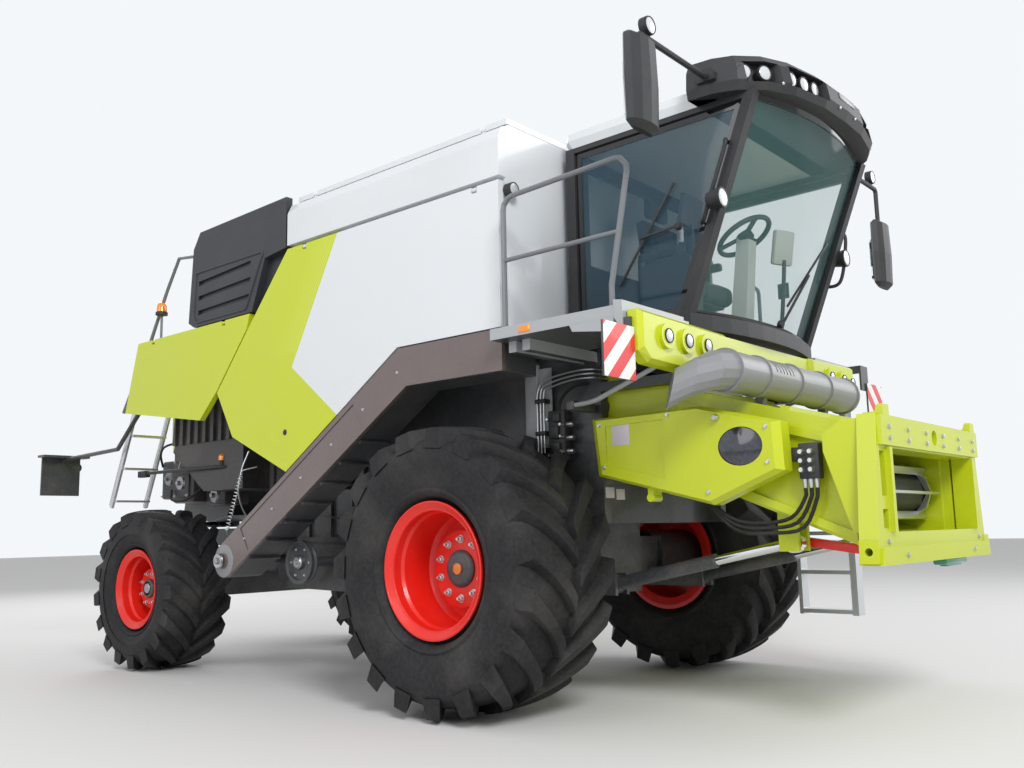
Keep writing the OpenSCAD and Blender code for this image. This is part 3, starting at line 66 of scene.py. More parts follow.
def photo_camera():
    """The camera looks along its own -Z, so its columns are right, up and back."""
    ahead = Vector((cos(PITCH) * cos(YAW), cos(PITCH) * sin(YAW), sin(PITCH)))
    level = Vector((sin(YAW), -cos(YAW), 0.0))
    upright = level.cross(ahead)
    right = cos(ROLL) * level + sin(ROLL) * upright
    up = cos(ROLL) * upright - sin(ROLL) * level
    data = bpy.data.cameras.new("photo_camera")
    data.sensor_width = FILM_MM
    data.lens = FOCAL_PIXELS / PICTURE_W * FILM_MM
    data.clip_end = 200.0
    camera = bpy.data.objects.new("photo_camera", data)
    bpy.context.scene.collection.objects.link(camera)
    turn = Matrix((right, up, -ahead)).transposed().to_4x4()
    camera.matrix_world = Matrix.Translation(EYE) @ turn
    bpy.context.scene.camera = camera
    return camera


camera = photo_camera()
print("lens, mm:", round(camera.data.lens, 2))

# %% [markdown]
# Every number that changes over a surface is worked out by shader nodes.
# Wiring them by hand hides the sum behind the plumbing, so a small class wraps a socket instead.
# An expression such as `1 - mask * 0.3` then adds its own Math nodes.

# %% Shader sums as expressions
class Signal:
    """One output socket that takes part in sums."""

    def __init__(self, finish, socket):
        self.finish = finish
        self.socket = socket

    def sum(self, operation, *others):
        return self.finish.add("ShaderNodeMath", {"operation": operation}, dict(enumerate(others)))

    def __add__(self, other): return self.sum("ADD", self, other)
    def __sub__(self, other): return self.sum("SUBTRACT", self, other)
    def __rsub__(self, other): return self.sum("SUBTRACT", other, self)
    def __mul__(self, other): return self.sum("MULTIPLY", self, other)
    def __truediv__(self, other): return self.sum("DIVIDE", self, other)
    def __gt__(self, other): return self.sum("GREATER_THAN", self, other)
    def __lt__(self, other): return self.sum("LESS_THAN", self, other)
    def __mod__(self, other): return self.sum("FLOORED_MODULO", self, other)
    def least(self, other): return self.sum("MINIMUM", self, other)
    def most(self, other): return self.sum("MAXIMUM", self, other)
    def size(self): return self.sum("ABSOLUTE", self)
    def wave(self): return self.sum("SINE", self)

    def step(self, low, high):
        """0 below low and 1 above high, with a soft edge between."""
        settings = {"interpolation_type": "SMOOTHSTEP"}
        return self.finish.add("ShaderNodeMapRange", settings, {0: self, 1: low, 2: high})


# A Mix node holds its factor in socket 0, and keeps its two colours and its colour output further down
MIX_FACTOR, MIX_FIRST, MIX_SECOND, MIX_COLOUR_OUT = 0, 6, 7, 2


class Finish:
    """A material with one Principled shader, and the few nodes that vary it."""

    def __init__(self, name, **sockets):
        self.material = bpy.data.materials.new(name)
        self.material.use_nodes = True
        self.tree = self.material.node_tree
        self.shader = self.tree.nodes["Principled BSDF"]
        self.spot = None
        self.set(**sockets)

    def add(self, kind, settings=None, inputs=None, output=0):
        node = self.tree.nodes.new(kind)
        for key, value in (settings or {}).items():
            setattr(node, key, value)
        for key, value in (inputs or {}).items():
            self.plug(node.inputs[key], value)
        return Signal(self, node.outputs[output])

    def plug(self, socket, value):
        if isinstance(value, Signal):
            self.tree.links.new(value.socket, socket)
        elif socket.type == "RGBA" and len(value) == 3:
            socket.default_value = (*value, 1.0)
        else:
            socket.default_value = value

    def set(self, **sockets):
        """Base_Color=… sets the shader's Base Color, and so on."""
        for key, value in sockets.items():
            self.plug(self.shader.inputs[key.replace("_", " ")], value)
        return self

    def place(self):
        if self.spot is None:
            self.spot = self.add("ShaderNodeTexCoord", output="Object")
        return self.spot

    def axis(self, letter):
        return self.add("ShaderNodeSeparateXYZ", {}, {0: self.place()}, output=letter.upper())

    def noise(self, scale, detail=3.0, stretch=(1.0, 1.0, 1.0)):
        spot = self.add("ShaderNodeMapping", {}, {"Vector": self.place(), "Scale": stretch})
        inputs = {"Vector": spot, "Scale": scale, "Detail": detail}
        return self.add("ShaderNodeTexNoise", {}, inputs)

    def cells(self, scale):
        """Distance to the nearest of many scattered points, which looks like grain."""
        return self.add("ShaderNodeTexVoronoi", {}, {"Vector": self.place(), "Scale": scale})

    def mix(self, mask, first, second):
        """The first colour where the mask is 0, and the second where it is 1."""
        inputs = {MIX_FACTOR: mask, MIX_FIRST: first, MIX_SECOND: second}
        return self.add("ShaderNodeMix", {"data_type": "RGBA"}, inputs, output=MIX_COLOUR_OUT)

    def bump(self, height, distance, strength=1.0):
        inputs = {"Height": height, "Distance": distance, "Strength": strength}
        return self.set(Normal=self.add("ShaderNodeBump", {}, inputs))


print("the shader sums are ready")

# %% [markdown]
# Sprayed sheet metal isn't flat colour. Under the gloss lies a faint ripple, called orange peel, and dust
# gathers low down and in patches. The dust dulls the gloss, so the same mask lifts the roughness.
# All the painted finishes share one function, and differ in colour, gloss and how much dust they hold.

# %% Paint
DUST = (0.42, 0.39, 0.35)
LIME = (0.57, 0.65, 0.010)
LIME_PALE = (0.66, 0.74, 0.10)
WHITE = (0.74, 0.77, 0.80)
RIM_RED = (0.80, 0.016, 0.008)
FRAME_GREY = (0.045, 0.048, 0.055)
COVER_BROWN = (0.135, 0.096, 0.092)


def dust_mask(finish, amount):
    """More dust near the ground, broken up into patches."""
    low = 1 - finish.axis("z").step(0.3, 3.2)
    patches = finish.noise(2.3, 4.0).step(0.42, 0.75)
    fine = finish.noise(38.0, 3.0).step(0.3, 0.8)
    return (low * 0.7 + 0.3) * (patches * 0.7 + fine * 0.3) * amount


def paint(name, colour, gloss=0.22, dust=0.22, peel=0.25, coat=0.5):
    finish = Finish(name, Coat_Weight=coat, Coat_Roughness=0.06, Specular_IOR_Level=0.5)
    mask = dust_mask(finish, dust)
    shade = finish.noise(0.9, 2.0).step(0.25, 0.75)
    body = finish.mix(shade, tuple(0.94 * c for c in colour), colour)
    finish.set(Base_Color=finish.mix(mask, body, DUST), Roughness=mask * 0.9 + gloss)
    finish.bump(finish.noise(120.0, 2.0), 0.0006, peel)
    return finish


paints = {
    "white": paint("gloss_white", WHITE, dust=0.10),
    "lime": paint("gloss_lime", LIME, gloss=0.3, dust=0.08, coat=0.2),
    "red": paint("rim_red", RIM_RED, gloss=0.34, dust=0.06, coat=0.15),
    "grey": paint("frame_grey", FRAME_GREY, gloss=0.36, dust=0.30, coat=0.15),
    "brown": paint("cover_brown", COVER_BROWN, gloss=0.2, dust=0.16, coat=0.7),
    "silver": paint("machine_silver", (0.36, 0.37, 0.38), gloss=0.38, dust=0.3, coat=0.1),
    "rail": paint("rail_silver", (0.40, 0.42, 0.44), gloss=0.34, dust=0.12, coat=0.3),
    "handrail": paint("handrail_grey", (0.17, 0.18, 0.20), gloss=0.34, dust=0.12, coat=0.3),
    "under": paint("underside_brown", (0.040, 0.036, 0.038), gloss=0.45, dust=0.35, coat=0.1),
    "teal": paint("coupler_teal", (0.02, 0.24, 0.16), gloss=0.3, dust=0.2),
    "orange": paint("hub_orange", (0.85, 0.22, 0.01), gloss=0.3, dust=0.2),
}
print("paints:", ", ".join(paints))

# %% [markdown]
# The unpainted pieces are grained plastic, cloth, rubber, and bare and plated metal.
# Grain is a bump of small cells. Rubber is dull and gets a grey bloom. Bare metal is rough with fine
# scratches along it, while the lift rods are chromed and nearly a mirror.

# %% Plastic, rubber and metal
def grained(name, colour, grain=420.0, rough=0.5, depth=0.0002):
    finish = Finish(name, Specular_IOR_Level=0.4)
    mask = dust_mask(finish, 0.14)
    finish.set(Base_Color=finish.mix(mask, colour, DUST), Roughness=mask * 0.4 + rough)
    return finish.bump(finish.cells(grain), depth, 0.5)


def rubber(name, colour, rough=0.72):
    finish = Finish(name, Specular_IOR_Level=0.3)
    bloom = finish.noise(7.0, 5.0).step(0.35, 0.75)
    dirt = dust_mask(finish, 0.26)
    body = finish.mix(bloom, colour, tuple(1.5 * c + 0.002 for c in colour))
    finish.set(Base_Color=finish.mix(dirt * 0.45, body, DUST), Roughness=bloom * 0.12 + rough)
    return finish.bump(finish.noise(260.0, 3.0), 0.0005, 0.4)


def metal(name, colour, rough=0.3, scratches=0.12):
    finish = Finish(name, Metallic=1.0, Base_Color=colour)
    streaks = finish.noise(60.0, 4.0, (1.0, 1.0, 9.0))
    finish.set(Roughness=streaks * scratches + rough)
    return finish.bump(streaks, 0.0003, 0.2)


bare = {
    "plastic": grained("black_plastic", (0.022, 0.023, 0.026)),
    "cover": grained("engine_cover_plastic", (0.030, 0.032, 0.038), grain=300.0, rough=0.42),
    "cloth": grained("seat_cloth", (0.035, 0.036, 0.04), grain=900.0, rough=0.85, depth=0.0012),
    "tyre": rubber("tyre_rubber", (0.010, 0.010, 0.012), rough=0.62),
    "belt": rubber("belt_rubber", (0.012, 0.012, 0.012), rough=0.6),
    "steel": metal("bare_steel", (0.42, 0.42, 0.43), rough=0.36),
    "zinc": metal("zinc_plate", (0.62, 0.63, 0.64), rough=0.28),
    "smooth": grained("smooth_grey_plastic", (0.25, 0.255, 0.27), grain=900.0, rough=0.32, depth=0.0001),
    "alloy": metal("brushed_alloy", (0.70, 0.71, 0.72), rough=0.42, scratches=0.2),
    "chrome": metal("lift_rod_chrome", (0.82, 0.83, 0.85), rough=0.07, scratches=0.05),
    "mirror": Finish("mirror_silver", Metallic=1.0, Base_Color=(0.85, 0.87, 0.88), Roughness=0.03),
}
print("bare finishes:", ", ".join(bare))

# %% [markdown]
# The cab's glass is tinted blue green, and thin enough that rays should pass without bending much.
# A shader with full transmission makes a dark cab in a pale studio, so the glass is an alpha mix:
# mostly clear, with a coloured film and a sharp gloss on top. The windows get a border too, so they wait
# for a cell of their own. The lamps' lenses are ribbed plastic with a silvery shine.

# %% Glass and lenses
GLASS_IOR = 1.5
RIB_WAVE = 900.0  # radians a metre


def lens(name, colour, glow=0.0):
    finish = Finish(name, Roughness=0.12, Coat_Weight=1.0, Coat_Roughness=0.03, Metallic=0.25)
    ribs = (finish.axis("z") * RIB_WAVE).wave()
    finish.set(Base_Color=finish.mix(ribs * 0.5 + 0.5, tuple(0.8 * c for c in colour), colour))
    return finish.set(Emission_Color=colour, Emission_Strength=glow)


glass = {
    "door": Finish("door_glass_tint", Base_Color=(0.16, 0.36, 0.36), Alpha=0.16, Roughness=0.04,
                   Specular_IOR_Level=0.7, IOR=GLASS_IOR),
    "clear": lens("clear_lens", (0.72, 0.74, 0.76)),
    # The amber finish's faint glow also lies on the platform reflectors, which make no light: there it is a
    # painted highlight.
    "amber": lens("amber_lens", (0.9, 0.26, 0.01), 0.15),
    "tail": lens("tail_lens", (0.6, 0.02, 0.015), 0.05),
}
print("glass:", ", ".join(glass))

# %% [markdown]
# The side of the machine carries its colour scheme: white ahead, lime behind, with a kinked border.
# The border follows two straight lines in side view, so the paint can tell which side of them a point
# lies on from its X and Z alone. A row of fine pale lines runs beside the upper border on the lime, and
# each is a slice of the same distance.

# %% Side panel scheme
KINK = (-0.025, 2.43)
BORDER_TOP = (0.495, 3.35)
BORDER_FOOT = (0.485, 2.04)
LINE_PITCH, LINE_W = 0.022, 0.006
LINES_NEAR, LINES_FAR, LINES_LOW = 0.015, 0.27, 0.12


def side_scheme(name):
    finish = Finish(name, Coat_Weight=0.2, Coat_Roughness=0.05)
    upper_slope = (BORDER_TOP[0] - KINK[0]) / (BORDER_TOP[1] - KINK[1])
    lower_slope = (BORDER_FOOT[0] - KINK[0]) / (KINK[1] - BORDER_FOOT[1])
    rise = finish.axis("z") - KINK[1]
    along = finish.axis("x") - KINK[0]
    ahead_upper = (along - rise * upper_slope) / hypot(1.0, upper_slope)
    ahead_lower = (along + rise * lower_slope) / hypot(1.0, lower_slope)
    ahead = ahead_upper.least(ahead_lower)
    white = ahead.step(-0.001, 0.001)
    behind = 0.0 - ahead_upper
    lined = (behind > LINES_NEAR) * (behind < LINES_FAR) * (rise > LINES_LOW)
    line = ((behind % LINE_PITCH) < LINE_W) * lined
    fade = 1 - behind.step(0.05, 0.3)
    lime = finish.mix(line * fade, LIME, LIME_PALE)
    mask = dust_mask(finish, 0.1)
    colour = finish.mix(white, lime, WHITE)
    finish.set(Base_Color=finish.mix(mask, colour, DUST), Roughness=mask * 0.9 + 0.2)
    return finish.bump(finish.noise(120.0, 2.0), 0.0006, 0.2)


paints["side"] = side_scheme("side_scheme")
print("border kink at x, z:", KINK)

# %% [markdown]
# Warning boards carry red and white diagonals, so that traffic sees how wide the machine is.
# The stripes are a remainder of Y plus Z, so one shader serves every board, whatever its place.

# %% Warning stripes
STRIPE_PITCH = 0.2
STRIPE_EDGE = 0.002


def warning_stripes():
    finish = Finish("warning_stripes", Roughness=0.35, Coat_Weight=0.3)
    slant = (finish.axis("y").size() + finish.axis("z")) % STRIPE_PITCH
    starts = slant.step(STRIPE_PITCH / 2 - STRIPE_EDGE, STRIPE_PITCH / 2)
    red = starts * (1 - slant.step(STRIPE_PITCH - STRIPE_EDGE, STRIPE_PITCH))
    grit = finish.cells(900.0).step(0.1, 0.5) * 0.15 + 0.85
    colour = finish.mix(red, (0.82, 0.82, 0.80), (0.72, 0.02, 0.02))
    return finish.set(Base_Color=finish.mix(grit, (0.5, 0.5, 0.5), colour))


paints["stripes"] = warning_stripes()
print("stripe pitch, m:", STRIPE_PITCH)

# %% [markdown]
# A solid keeps its own mesh, and only gets materials. Most solids wear one finish all over, so a table
# of finishes and names dresses them.

# %% Dress the solids
def dress(name, *finishes, choose=None):
    mesh = nodes[name].data
    mesh.materials.clear()
    for finish in finishes:
        mesh.materials.append(finish.material)
    for face in mesh.polygons:
        face.material_index = choose(face.center, face.normal) if choose else 0


SOLIDS = (
    (paints["grey"], "frame_rails front_axle rear_axle body_core chopper tow_hitch drive_pulleys elevator"),
    (paints["grey"], "knuckle_right knuckle_left lift_barrel_right lift_barrel_left"),
    (paints["white"], "grain_tank tank_lid_right tank_lid_left unloading_auger"),
    (paints["side"], "side_panel_right side_panel_left rear_panel_right rear_panel_left"),
    (paints["lime"], "feeder_house adapter lamp_panel"),
    (paints["red"], "rim_front_right rim_front_left rim_rear_right rim_rear_left"),
    (paints["silver"], "engine"),
    (paints["brown"], "elevator_cover"),
    (paints["handrail"], "railings"),
    (bare["tyre"], "tyre_front_right tyre_front_left tyre_rear_right tyre_rear_left"),
    (bare["plastic"], "cab_frame cab_visor mirrors cab_door"),
    (bare["cover"], "engine_covers"),
    (bare["cloth"], "seat"),
    (bare["smooth"], "dust_tube"),
    (bare["alloy"], "rear_ladder access_ladder"),
    (bare["chrome"], "lift_rod_right lift_rod_left"),
    (glass["door"], "door_glass"),
)
for finish, names in SOLIDS:
    for name in names.split():
        dress(name, finish)
print("kinds of finish on whole solids:", len(SOLIDS))

# %% [markdown]
# Some solids hold several finishes at once, such as the feed chain with bright slats on a dark drum.
# Their faces are sorted by place and direction: a small test looks at a face's middle and normal, and
# says which of the node's materials it takes.

# %% Solids with two finishes
FEED_SHAFT = (3.845, 1.340)
FEED_DRUM_R = 0.135


def chain_part(centre, normal):
    """Bright slats stand out from the dark drum."""
    return 1 if hypot(centre.x - FEED_SHAFT[0], centre.z - FEED_SHAFT[1]) > FEED_DRUM_R else 0


def hood_part(centre, normal):
    """Only the hood's outer skin is lime; what hangs below the rear panels is dark."""
    outer = abs(centre.y) > 1.40 or centre.x < -2.40 or normal.z > 0.5
    return 0 if outer and centre.z > 2.12 else 1


def platform_part(centre, normal):
    """The platforms' rims are painted pale; their floors and brackets are dark."""
    return 1 if abs(normal.z) < 0.5 and centre.z > 2.26 else 0


dress("feed_chain", bare["plastic"], bare["zinc"], choose=chain_part)
dress("rear_hood", paints["side"], paints["under"], choose=hood_part)
dress("platforms", paints["grey"], paints["rail"], choose=platform_part)
print("slats, hood and platforms are sorted")

# %% [markdown]
# New pieces are modelled with bmesh operators, then turned into an object at the origin.
# Edges sharper than a given angle stay crisp, and the rest is shaded smooth.
# A piece rides on the body that carries it, so it follows when that body turns.

# %% From shape to piece
CREASE = radians(38)
SIDES = ((-1, "right"), (1, "left"))


def piece(name, body, finish, shape, crease=CREASE, merge=True):
    if merge:
        bmesh.ops.remove_doubles(shape, verts=shape.verts, dist=1e-5)
    bmesh.ops.recalc_face_normals(shape, faces=shape.faces)
    mesh = bpy.data.meshes.new(name)
    shape.to_mesh(mesh)
    shape.free()
    mesh.shade_smooth()
    mesh.set_sharp_from_angle(angle=crease)
    mesh.materials.append(finish.material)
    thing = bpy.data.objects.new(name, mesh)
    bpy.context.scene.collection.objects.link(thing)
    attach(thing, body)
    return thing


def round_off(shape, edges, offset, segments=2):
    bmesh.ops.bevel(shape, geom=edges, offset=offset, segments=segments, profile=0.5, affect="EDGES",
                    material=-1)


def touches(name, starts, way):
    """Where straight lines first meet a solid, with its normals there. A line that misses is left out."""
    found = []
    for start in starts:
        hit, at, normal, face = nodes[name].ray_cast(Vector(start), Vector(way).normalized())
        if hit:
            found.append((at, normal))
    return found


def touch(name, start, way):
    """Where one line first meets a solid, so that a small piece sits on it."""
    return touches(name, [start], way)[0]


def upright_to(way):
    """A turn that takes Z to the given direction."""
    return Vector(way).to_track_quat("Z", "Y").to_matrix().to_4x4()


print("crease angle, degrees:", round(degrees(CREASE)))

# %% [markdown]
# The drive tyres give the machine its look. A tyre is a round carcass with slanting lugs on its tread.
# The carcass is a section spun round the axle. One lug is a bent bar: a flat strip is raised, drawn in
# towards its top, rounded along its edges, and then wrapped on the carcass. Its middle runs nearly along
# the tread and its outer end nearly across it, as on the real tyre. The lug is copied round, and mirrored
# with half a step of shift, which makes the chevrons.

# %% Tyre sizes
class Tyre:
    def __init__(self, name, rim_name, lugs, lug_h):
        low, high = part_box(name)
        self.name = name
        self.side = 1.0 if low.y + high.y > 0 else -1.0
        self.centre = Vector(((low.x + high.x) / 2, (low.y + high.y) / 2, (low.z + high.z) / 2))
        self.w = (high.y - low.y) / 2
        self.r = (high.z - low.z) / 2
        self.centre.z = low.z + self.r
        rim_low, rim_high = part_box(rim_name)
        self.lip = (rim_high.z - rim_low.z) / 2
        self.bead = (rim_high.y - rim_low.y) / 2 - 0.05
        self.lugs = lugs
        self.lug_h = lug_h

    def ground(self, across):
        """Radius of the tread between the lugs, over the place across the tyre."""
        share = min(abs(across) / self.w, 1.0)
        return self.r - self.lug_h - 0.004 - 0.03 * share ** 2 - 0.045 * share ** 8

    def crown(self, across):
        """Radius of the lugs' tops."""
        share = min(abs(across) / self.w, 1.0)
        return self.r - 0.001 - 0.016 * share ** 2 - 0.012 * share ** 6


LUG_TOP = 0.30
LUG_FOOT = 0.44
LUG_STEPS = 12


def lug_turn(share):
    """How far a lug's middle line has turned, in lug steps, from the tread's middle to its shoulder."""
    return 1.22 * share ** 0.80


def lug_shape(tyre):
    shape = bmesh.new()
    bmesh.ops.create_grid(shape, x_segments=LUG_STEPS, y_segments=1, size=0.5)
    raised = bmesh.ops.extrude_face_region(shape, geom=shape.faces[:])
    top = [v for v in raised["geom"] if isinstance(v, bmesh.types.BMVert)]
    bmesh.ops.translate(shape, verts=top, vec=(0, 0, 1))
    bmesh.ops.scale(shape, verts=top, vec=(0.985, LUG_TOP / LUG_FOOT, 1))
    bmesh.ops.recalc_face_normals(shape, faces=shape.faces)
    rim = [e for e in shape.edges if e.calc_face_angle(0.0) > 0.5 and all(v.co.z > 0.9 for v in e.verts)]
    round_off(shape, rim, 0.055)
    for v in shape.verts:
        share = (v.co.x + 0.5) * 0.985 + 0.015
        across = share * tyre.w
        foot = tyre.ground(across) - 0.012
        head = tyre.crown(across)
        widen = 1.0 + 0.35 * share ** 3
        angle = 2 * pi / tyre.lugs * (lug_turn(share) + v.co.y * LUG_FOOT * widen)
        radius = foot + (head - foot) * v.co.z
        out = 0.0 if v.co.x < 0.49 else -0.006 * v.co.z
        v.co = Vector((radius * sin(angle), across + out, -radius * cos(angle)))
    return shape


def carcass_section(tyre):
    """Half of the tyre's section as (across, radius), from the middle of the tread to the bead."""
    w, lip = tyre.w, tyre.lip

    def rise(share):
        return lip + share * (tyre.r - lip)

    tread = [(w * k / 8, tyre.ground(w * k / 8)) for k in range(8)]
    top = tyre.ground(w * 0.97)
    shoulder = [(w * 0.965, top - 0.012), (w * 0.99, top - 0.045), (w - 0.001, top - 0.11)]
    wall = [(w - 0.004, rise(0.44)), (w - 0.014, rise(0.3)), (w - 0.038, rise(0.17)),
            (w - 0.030, rise(0.14)), (w - 0.034, rise(0.115)), (w - 0.060, rise(0.06))]
    bead = [(tyre.bead - 0.004, lip + 0.012), (tyre.bead - 0.02, lip - 0.01), (tyre.bead - 0.03, lip - 0.03)]
    return tread + shoulder + wall + bead


def build_tyre(tyre, body, around=114):
    shape = bmesh.new()
    section = carcass_section(tyre)
    outline = [(-y, r) for y, r in reversed(section[1:])] + section
    verts = [shape.verts.new((0, y, -r)) for y, r in outline]
    edges = [shape.edges.new(pair) for pair in zip(verts, verts[1:])]
    bmesh.ops.spin(shape, geom=verts + edges, axis=(0, 1, 0), cent=(0, 0, 0), angle=2 * pi,
                   steps=around, use_merge=True)
    bmesh.ops.remove_doubles(shape, verts=shape.verts, dist=1e-5)
    bmesh.ops.recalc_face_normals(shape, faces=shape.faces)
    print(tyre.name, "carcass faces:", len(shape.faces))
    lug = lug_shape(tyre)
    lug_mesh = bpy.data.meshes.new("lug")
    lug.to_mesh(lug_mesh)
    lug.free()
    for half in (-1, 1):
        for k in range(tyre.lugs):
            fresh = len(shape.verts)
            shape.from_mesh(lug_mesh)
            shape.verts.ensure_lookup_table()
            new = shape.verts[fresh:]
            if half < 0:
                bmesh.ops.scale(shape, verts=new, vec=(1, -1, 1))
            turn = Matrix.Rotation(-2 * pi / tyre.lugs * (k + (0.5 if half > 0 else 0.0)), 4, "Y")
            bmesh.ops.transform(shape, matrix=turn, verts=new)
    bmesh.ops.translate(shape, verts=shape.verts, vec=tyre.centre)
    bpy.data.meshes.remove(lug_mesh)
    name = tyre.name.replace("tyre", "lugged_tyre")
    made = piece(name, body, bare["tyre"], shape, radians(42), merge=False)
    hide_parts(tyre.name)
    return made


for side in ("right", "left"):
    front = Tyre(f"tyre_front_{side}", f"rim_front_{side}", 19, 0.058)
    rear = Tyre(f"tyre_rear_{side}", f"rim_rear_{side}", 17, 0.042)
    for tyre, body in ((front, f"front_wheel_{side}"), (rear, f"rear_wheel_{side}")):
        made = build_tyre(tyre, body)
        print(made.name, "faces:", len(made.data.polygons))

# %% [markdown]
# Fasteners tell the eye how big a machine is. A bolt here is a washer, a six-sided head with its corners
# taken off, and a stud end. One function adds a bolt to a shape, so a whole ring of them is one piece.
# Where a bolt belongs on a solid, a line is shot at the solid, and the bolt sits where it lands.

# %% Bolts
def add_bolt(shape, at, way, across, stud=True):
    seat = Matrix.Translation(at) @ upright_to(way)
    parts = [(0.62, 0.62, 0.0, 0.10, 20), (0.5, 0.5, 0.10, 0.52, 6), (0.5, 0.40, 0.52, 0.60, 6)]
    if stud:
        parts.append((0.27, 0.23, 0.60, 0.95, 12))
    for foot, head, low, high, sides in parts:
        place = seat @ Matrix.Translation((0, 0, (low + high) / 2 * across))
        bmesh.ops.create_cone(shape, cap_ends=True, segments=sides, radius1=foot * across,
                              radius2=head * across, depth=(high - low) * across, matrix=place)


def bolts(name, body, finish, spots, across, stud=True):
    shape = bmesh.new()
    for at, way in spots:
        add_bolt(shape, Vector(at), way, across, stud)
    return piece(name, body, finish, shape, radians(25), merge=False)


FRONT_RING_R = 0.188
REAR_RING_R = 0.135
print("bolt ring radii, m:", FRONT_RING_R, REAR_RING_R)

# %% [markdown]
# Caps, buttons, lenses and bezels are round, and so is the hub in the middle of each wheel.
# Such a thing is a section spun about an axis. The section is given as (radius, height) pairs, and the
# axis is then laid along any direction.

# %% Turned pieces
TURN_STEPS = 40


def add_turned(shape, at, way, section, steps=TURN_STEPS):
    """Adds a solid of revolution whose section starts and ends on the axis."""
    before = set(shape.verts)
    verts = [shape.verts.new((r, 0, h)) for r, h in section]
    edges = [shape.edges.new(pair) for pair in zip(verts, verts[1:])]
    bmesh.ops.spin(shape, geom=verts + edges, axis=(0, 0, 1), cent=(0, 0, 0), angle=2 * pi,
                   steps=steps, use_merge=True)
    new = [v for v in shape.verts if v not in before]
    bmesh.ops.transform(shape, matrix=Matrix.Translation(at) @ upright_to(way), verts=new)


def turned(name, body, finish, spots, section, steps=TURN_STEPS, crease=CREASE):
    shape = bmesh.new()
    for at, way in spots:
        add_turned(shape, Vector(at), way, section, steps)
    return piece(name, body, finish, shape, crease)


def hub_spot(rim):
    low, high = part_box(rim)
    centre = (low + high) / 2
    side = 1.0 if centre.y > 0 else -1.0
    return touch(rim, (centre.x, side * 2.2, centre.z + 0.001), (0, -side, 0))


def cap_section(r, high):
    return [(0.0, high), (r * 0.72, high), (r * 0.90, high * 0.8), (r, high * 0.35), (r, 0.0), (0.0, 0.0)]


def button_section(r, low, high):
    return [(0.0, high), (r * 0.8, high), (r, high - 0.004), (r, low), (0.0, low)]


print("steps of a turned piece:", TURN_STEPS)

# %% [markdown]
# A work lamp is a dark can with a bright face. The face is a shallow dome of clear plastic in a thin bezel.
# The visor's pockets, the lamp panel, the pillars, the tank's corners and the mirror arms all carry them,
# so a table holds each lamp's node, the line that finds its face, and its radius.

# %% Lamp faces
def lens_section(r):
    bulge = 0.16 * r
    arc = [(r * sin(a), bulge * cos(a) + 0.002) for a in (0.0, 0.4, 0.8, 1.15, 1.4)]
    return arc + [(r, 0.002), (r, -0.004), (0.0, -0.004)]


def bezel_section(r):
    """A ring's section has to start and end on the axis, so its floor closes it behind the lens."""
    return [(0.0, 0.001), (r * 0.98, 0.001), (r * 0.99, 0.008), (r * 1.10, 0.008), (r * 1.14, 0.0),
            (r * 1.14, -0.012), (0.0, -0.012)]


# Lamps in the visor's pockets: place across, and how far each is turned outwards
POCKET_LAMPS = [(0.340, 5), (0.455, 9), (0.570, 14), (0.750, 24), (0.845, 36)]
POCKET_LAMP_LENGTH = 0.064
FAR = 6.0
LAMPS = [
    # node, where its line starts, radius of the lens, finish
    ("mirrors", (FAR, -1.640, 3.916), 0.047, "clear"),
    ("lamp_panel", (FAR, -0.910, 2.215), 0.038, "clear"),
    ("lamp_panel", (FAR, -1.130, 2.215), 0.038, "clear"),
    ("lamp_panel", (FAR, -1.350, 2.215), 0.038, "clear"),
    ("lamps", (FAR, -0.930, 3.095), 0.056, "clear"),
    ("lamps", (FAR, -1.410, 3.330), 0.042, "clear"),
    ("lamps", (-FAR, -1.180, 1.900), 0.040, "tail"),
    ("lamps", (-FAR, -1.440, 1.900), 0.040, "amber"),
]
for across, turn in POCKET_LAMPS:
    face_y = across + POCKET_LAMP_LENGTH * sin(radians(turn))
    LAMPS.append(("cab_visor", (FAR, -face_y, 3.856), 0.044, "clear"))


def lamp_faces():
    faces = {"clear": [], "amber": [], "tail": []}
    for name, (x, y, z), radius, finish in LAMPS:
        for at, normal in touches(name, [(x, y, z), (x, -y, z)], (-x, 0, 0)):
            faces[finish].append((at, normal, radius))
    for finish, found in faces.items():
        shape, rings = bmesh.new(), bmesh.new()
        for at, normal, radius in found:
            add_turned(shape, at + normal * 0.002, normal, lens_section(radius), 32)
            add_turned(rings, at, normal, bezel_section(radius), 32)
        piece(f"lamp_lenses_{finish}", "chassis", glass[finish], shape)
        piece(f"lamp_bezels_{finish}", "chassis", bare["plastic"], rings)
        print("lamp faces,", finish, len(found))


def lamp_shell(centre, normal):
    """The beacon's dome on the roof is amber; every other lamp's shell is dark."""
    return 1 if centre.z > 3.985 and centre.x > 2 else 0


lamp_faces()
dress("lamps", bare["plastic"], glass["amber"], choose=lamp_shell)

# %% [markdown]
# The boards get their stripes on the face that traffic sees, and keep a dark back.
# The mirrors' glass looks backwards, so a silvered plate sits in the rear face of each dark shell.

# %% Boards and mirrors
def board_face(centre, normal):
    rear = normal.x < -0.9 and 1.60 < centre.z < 2.0 and centre.x < -4.1
    front = normal.x > 0.9 and 1.93 < centre.z < 2.25 and abs(centre.y) > 1.57
    return 1 if rear or front else 0


dress("marker_boards", paints["grey"], paints["stripes"], choose=board_face)


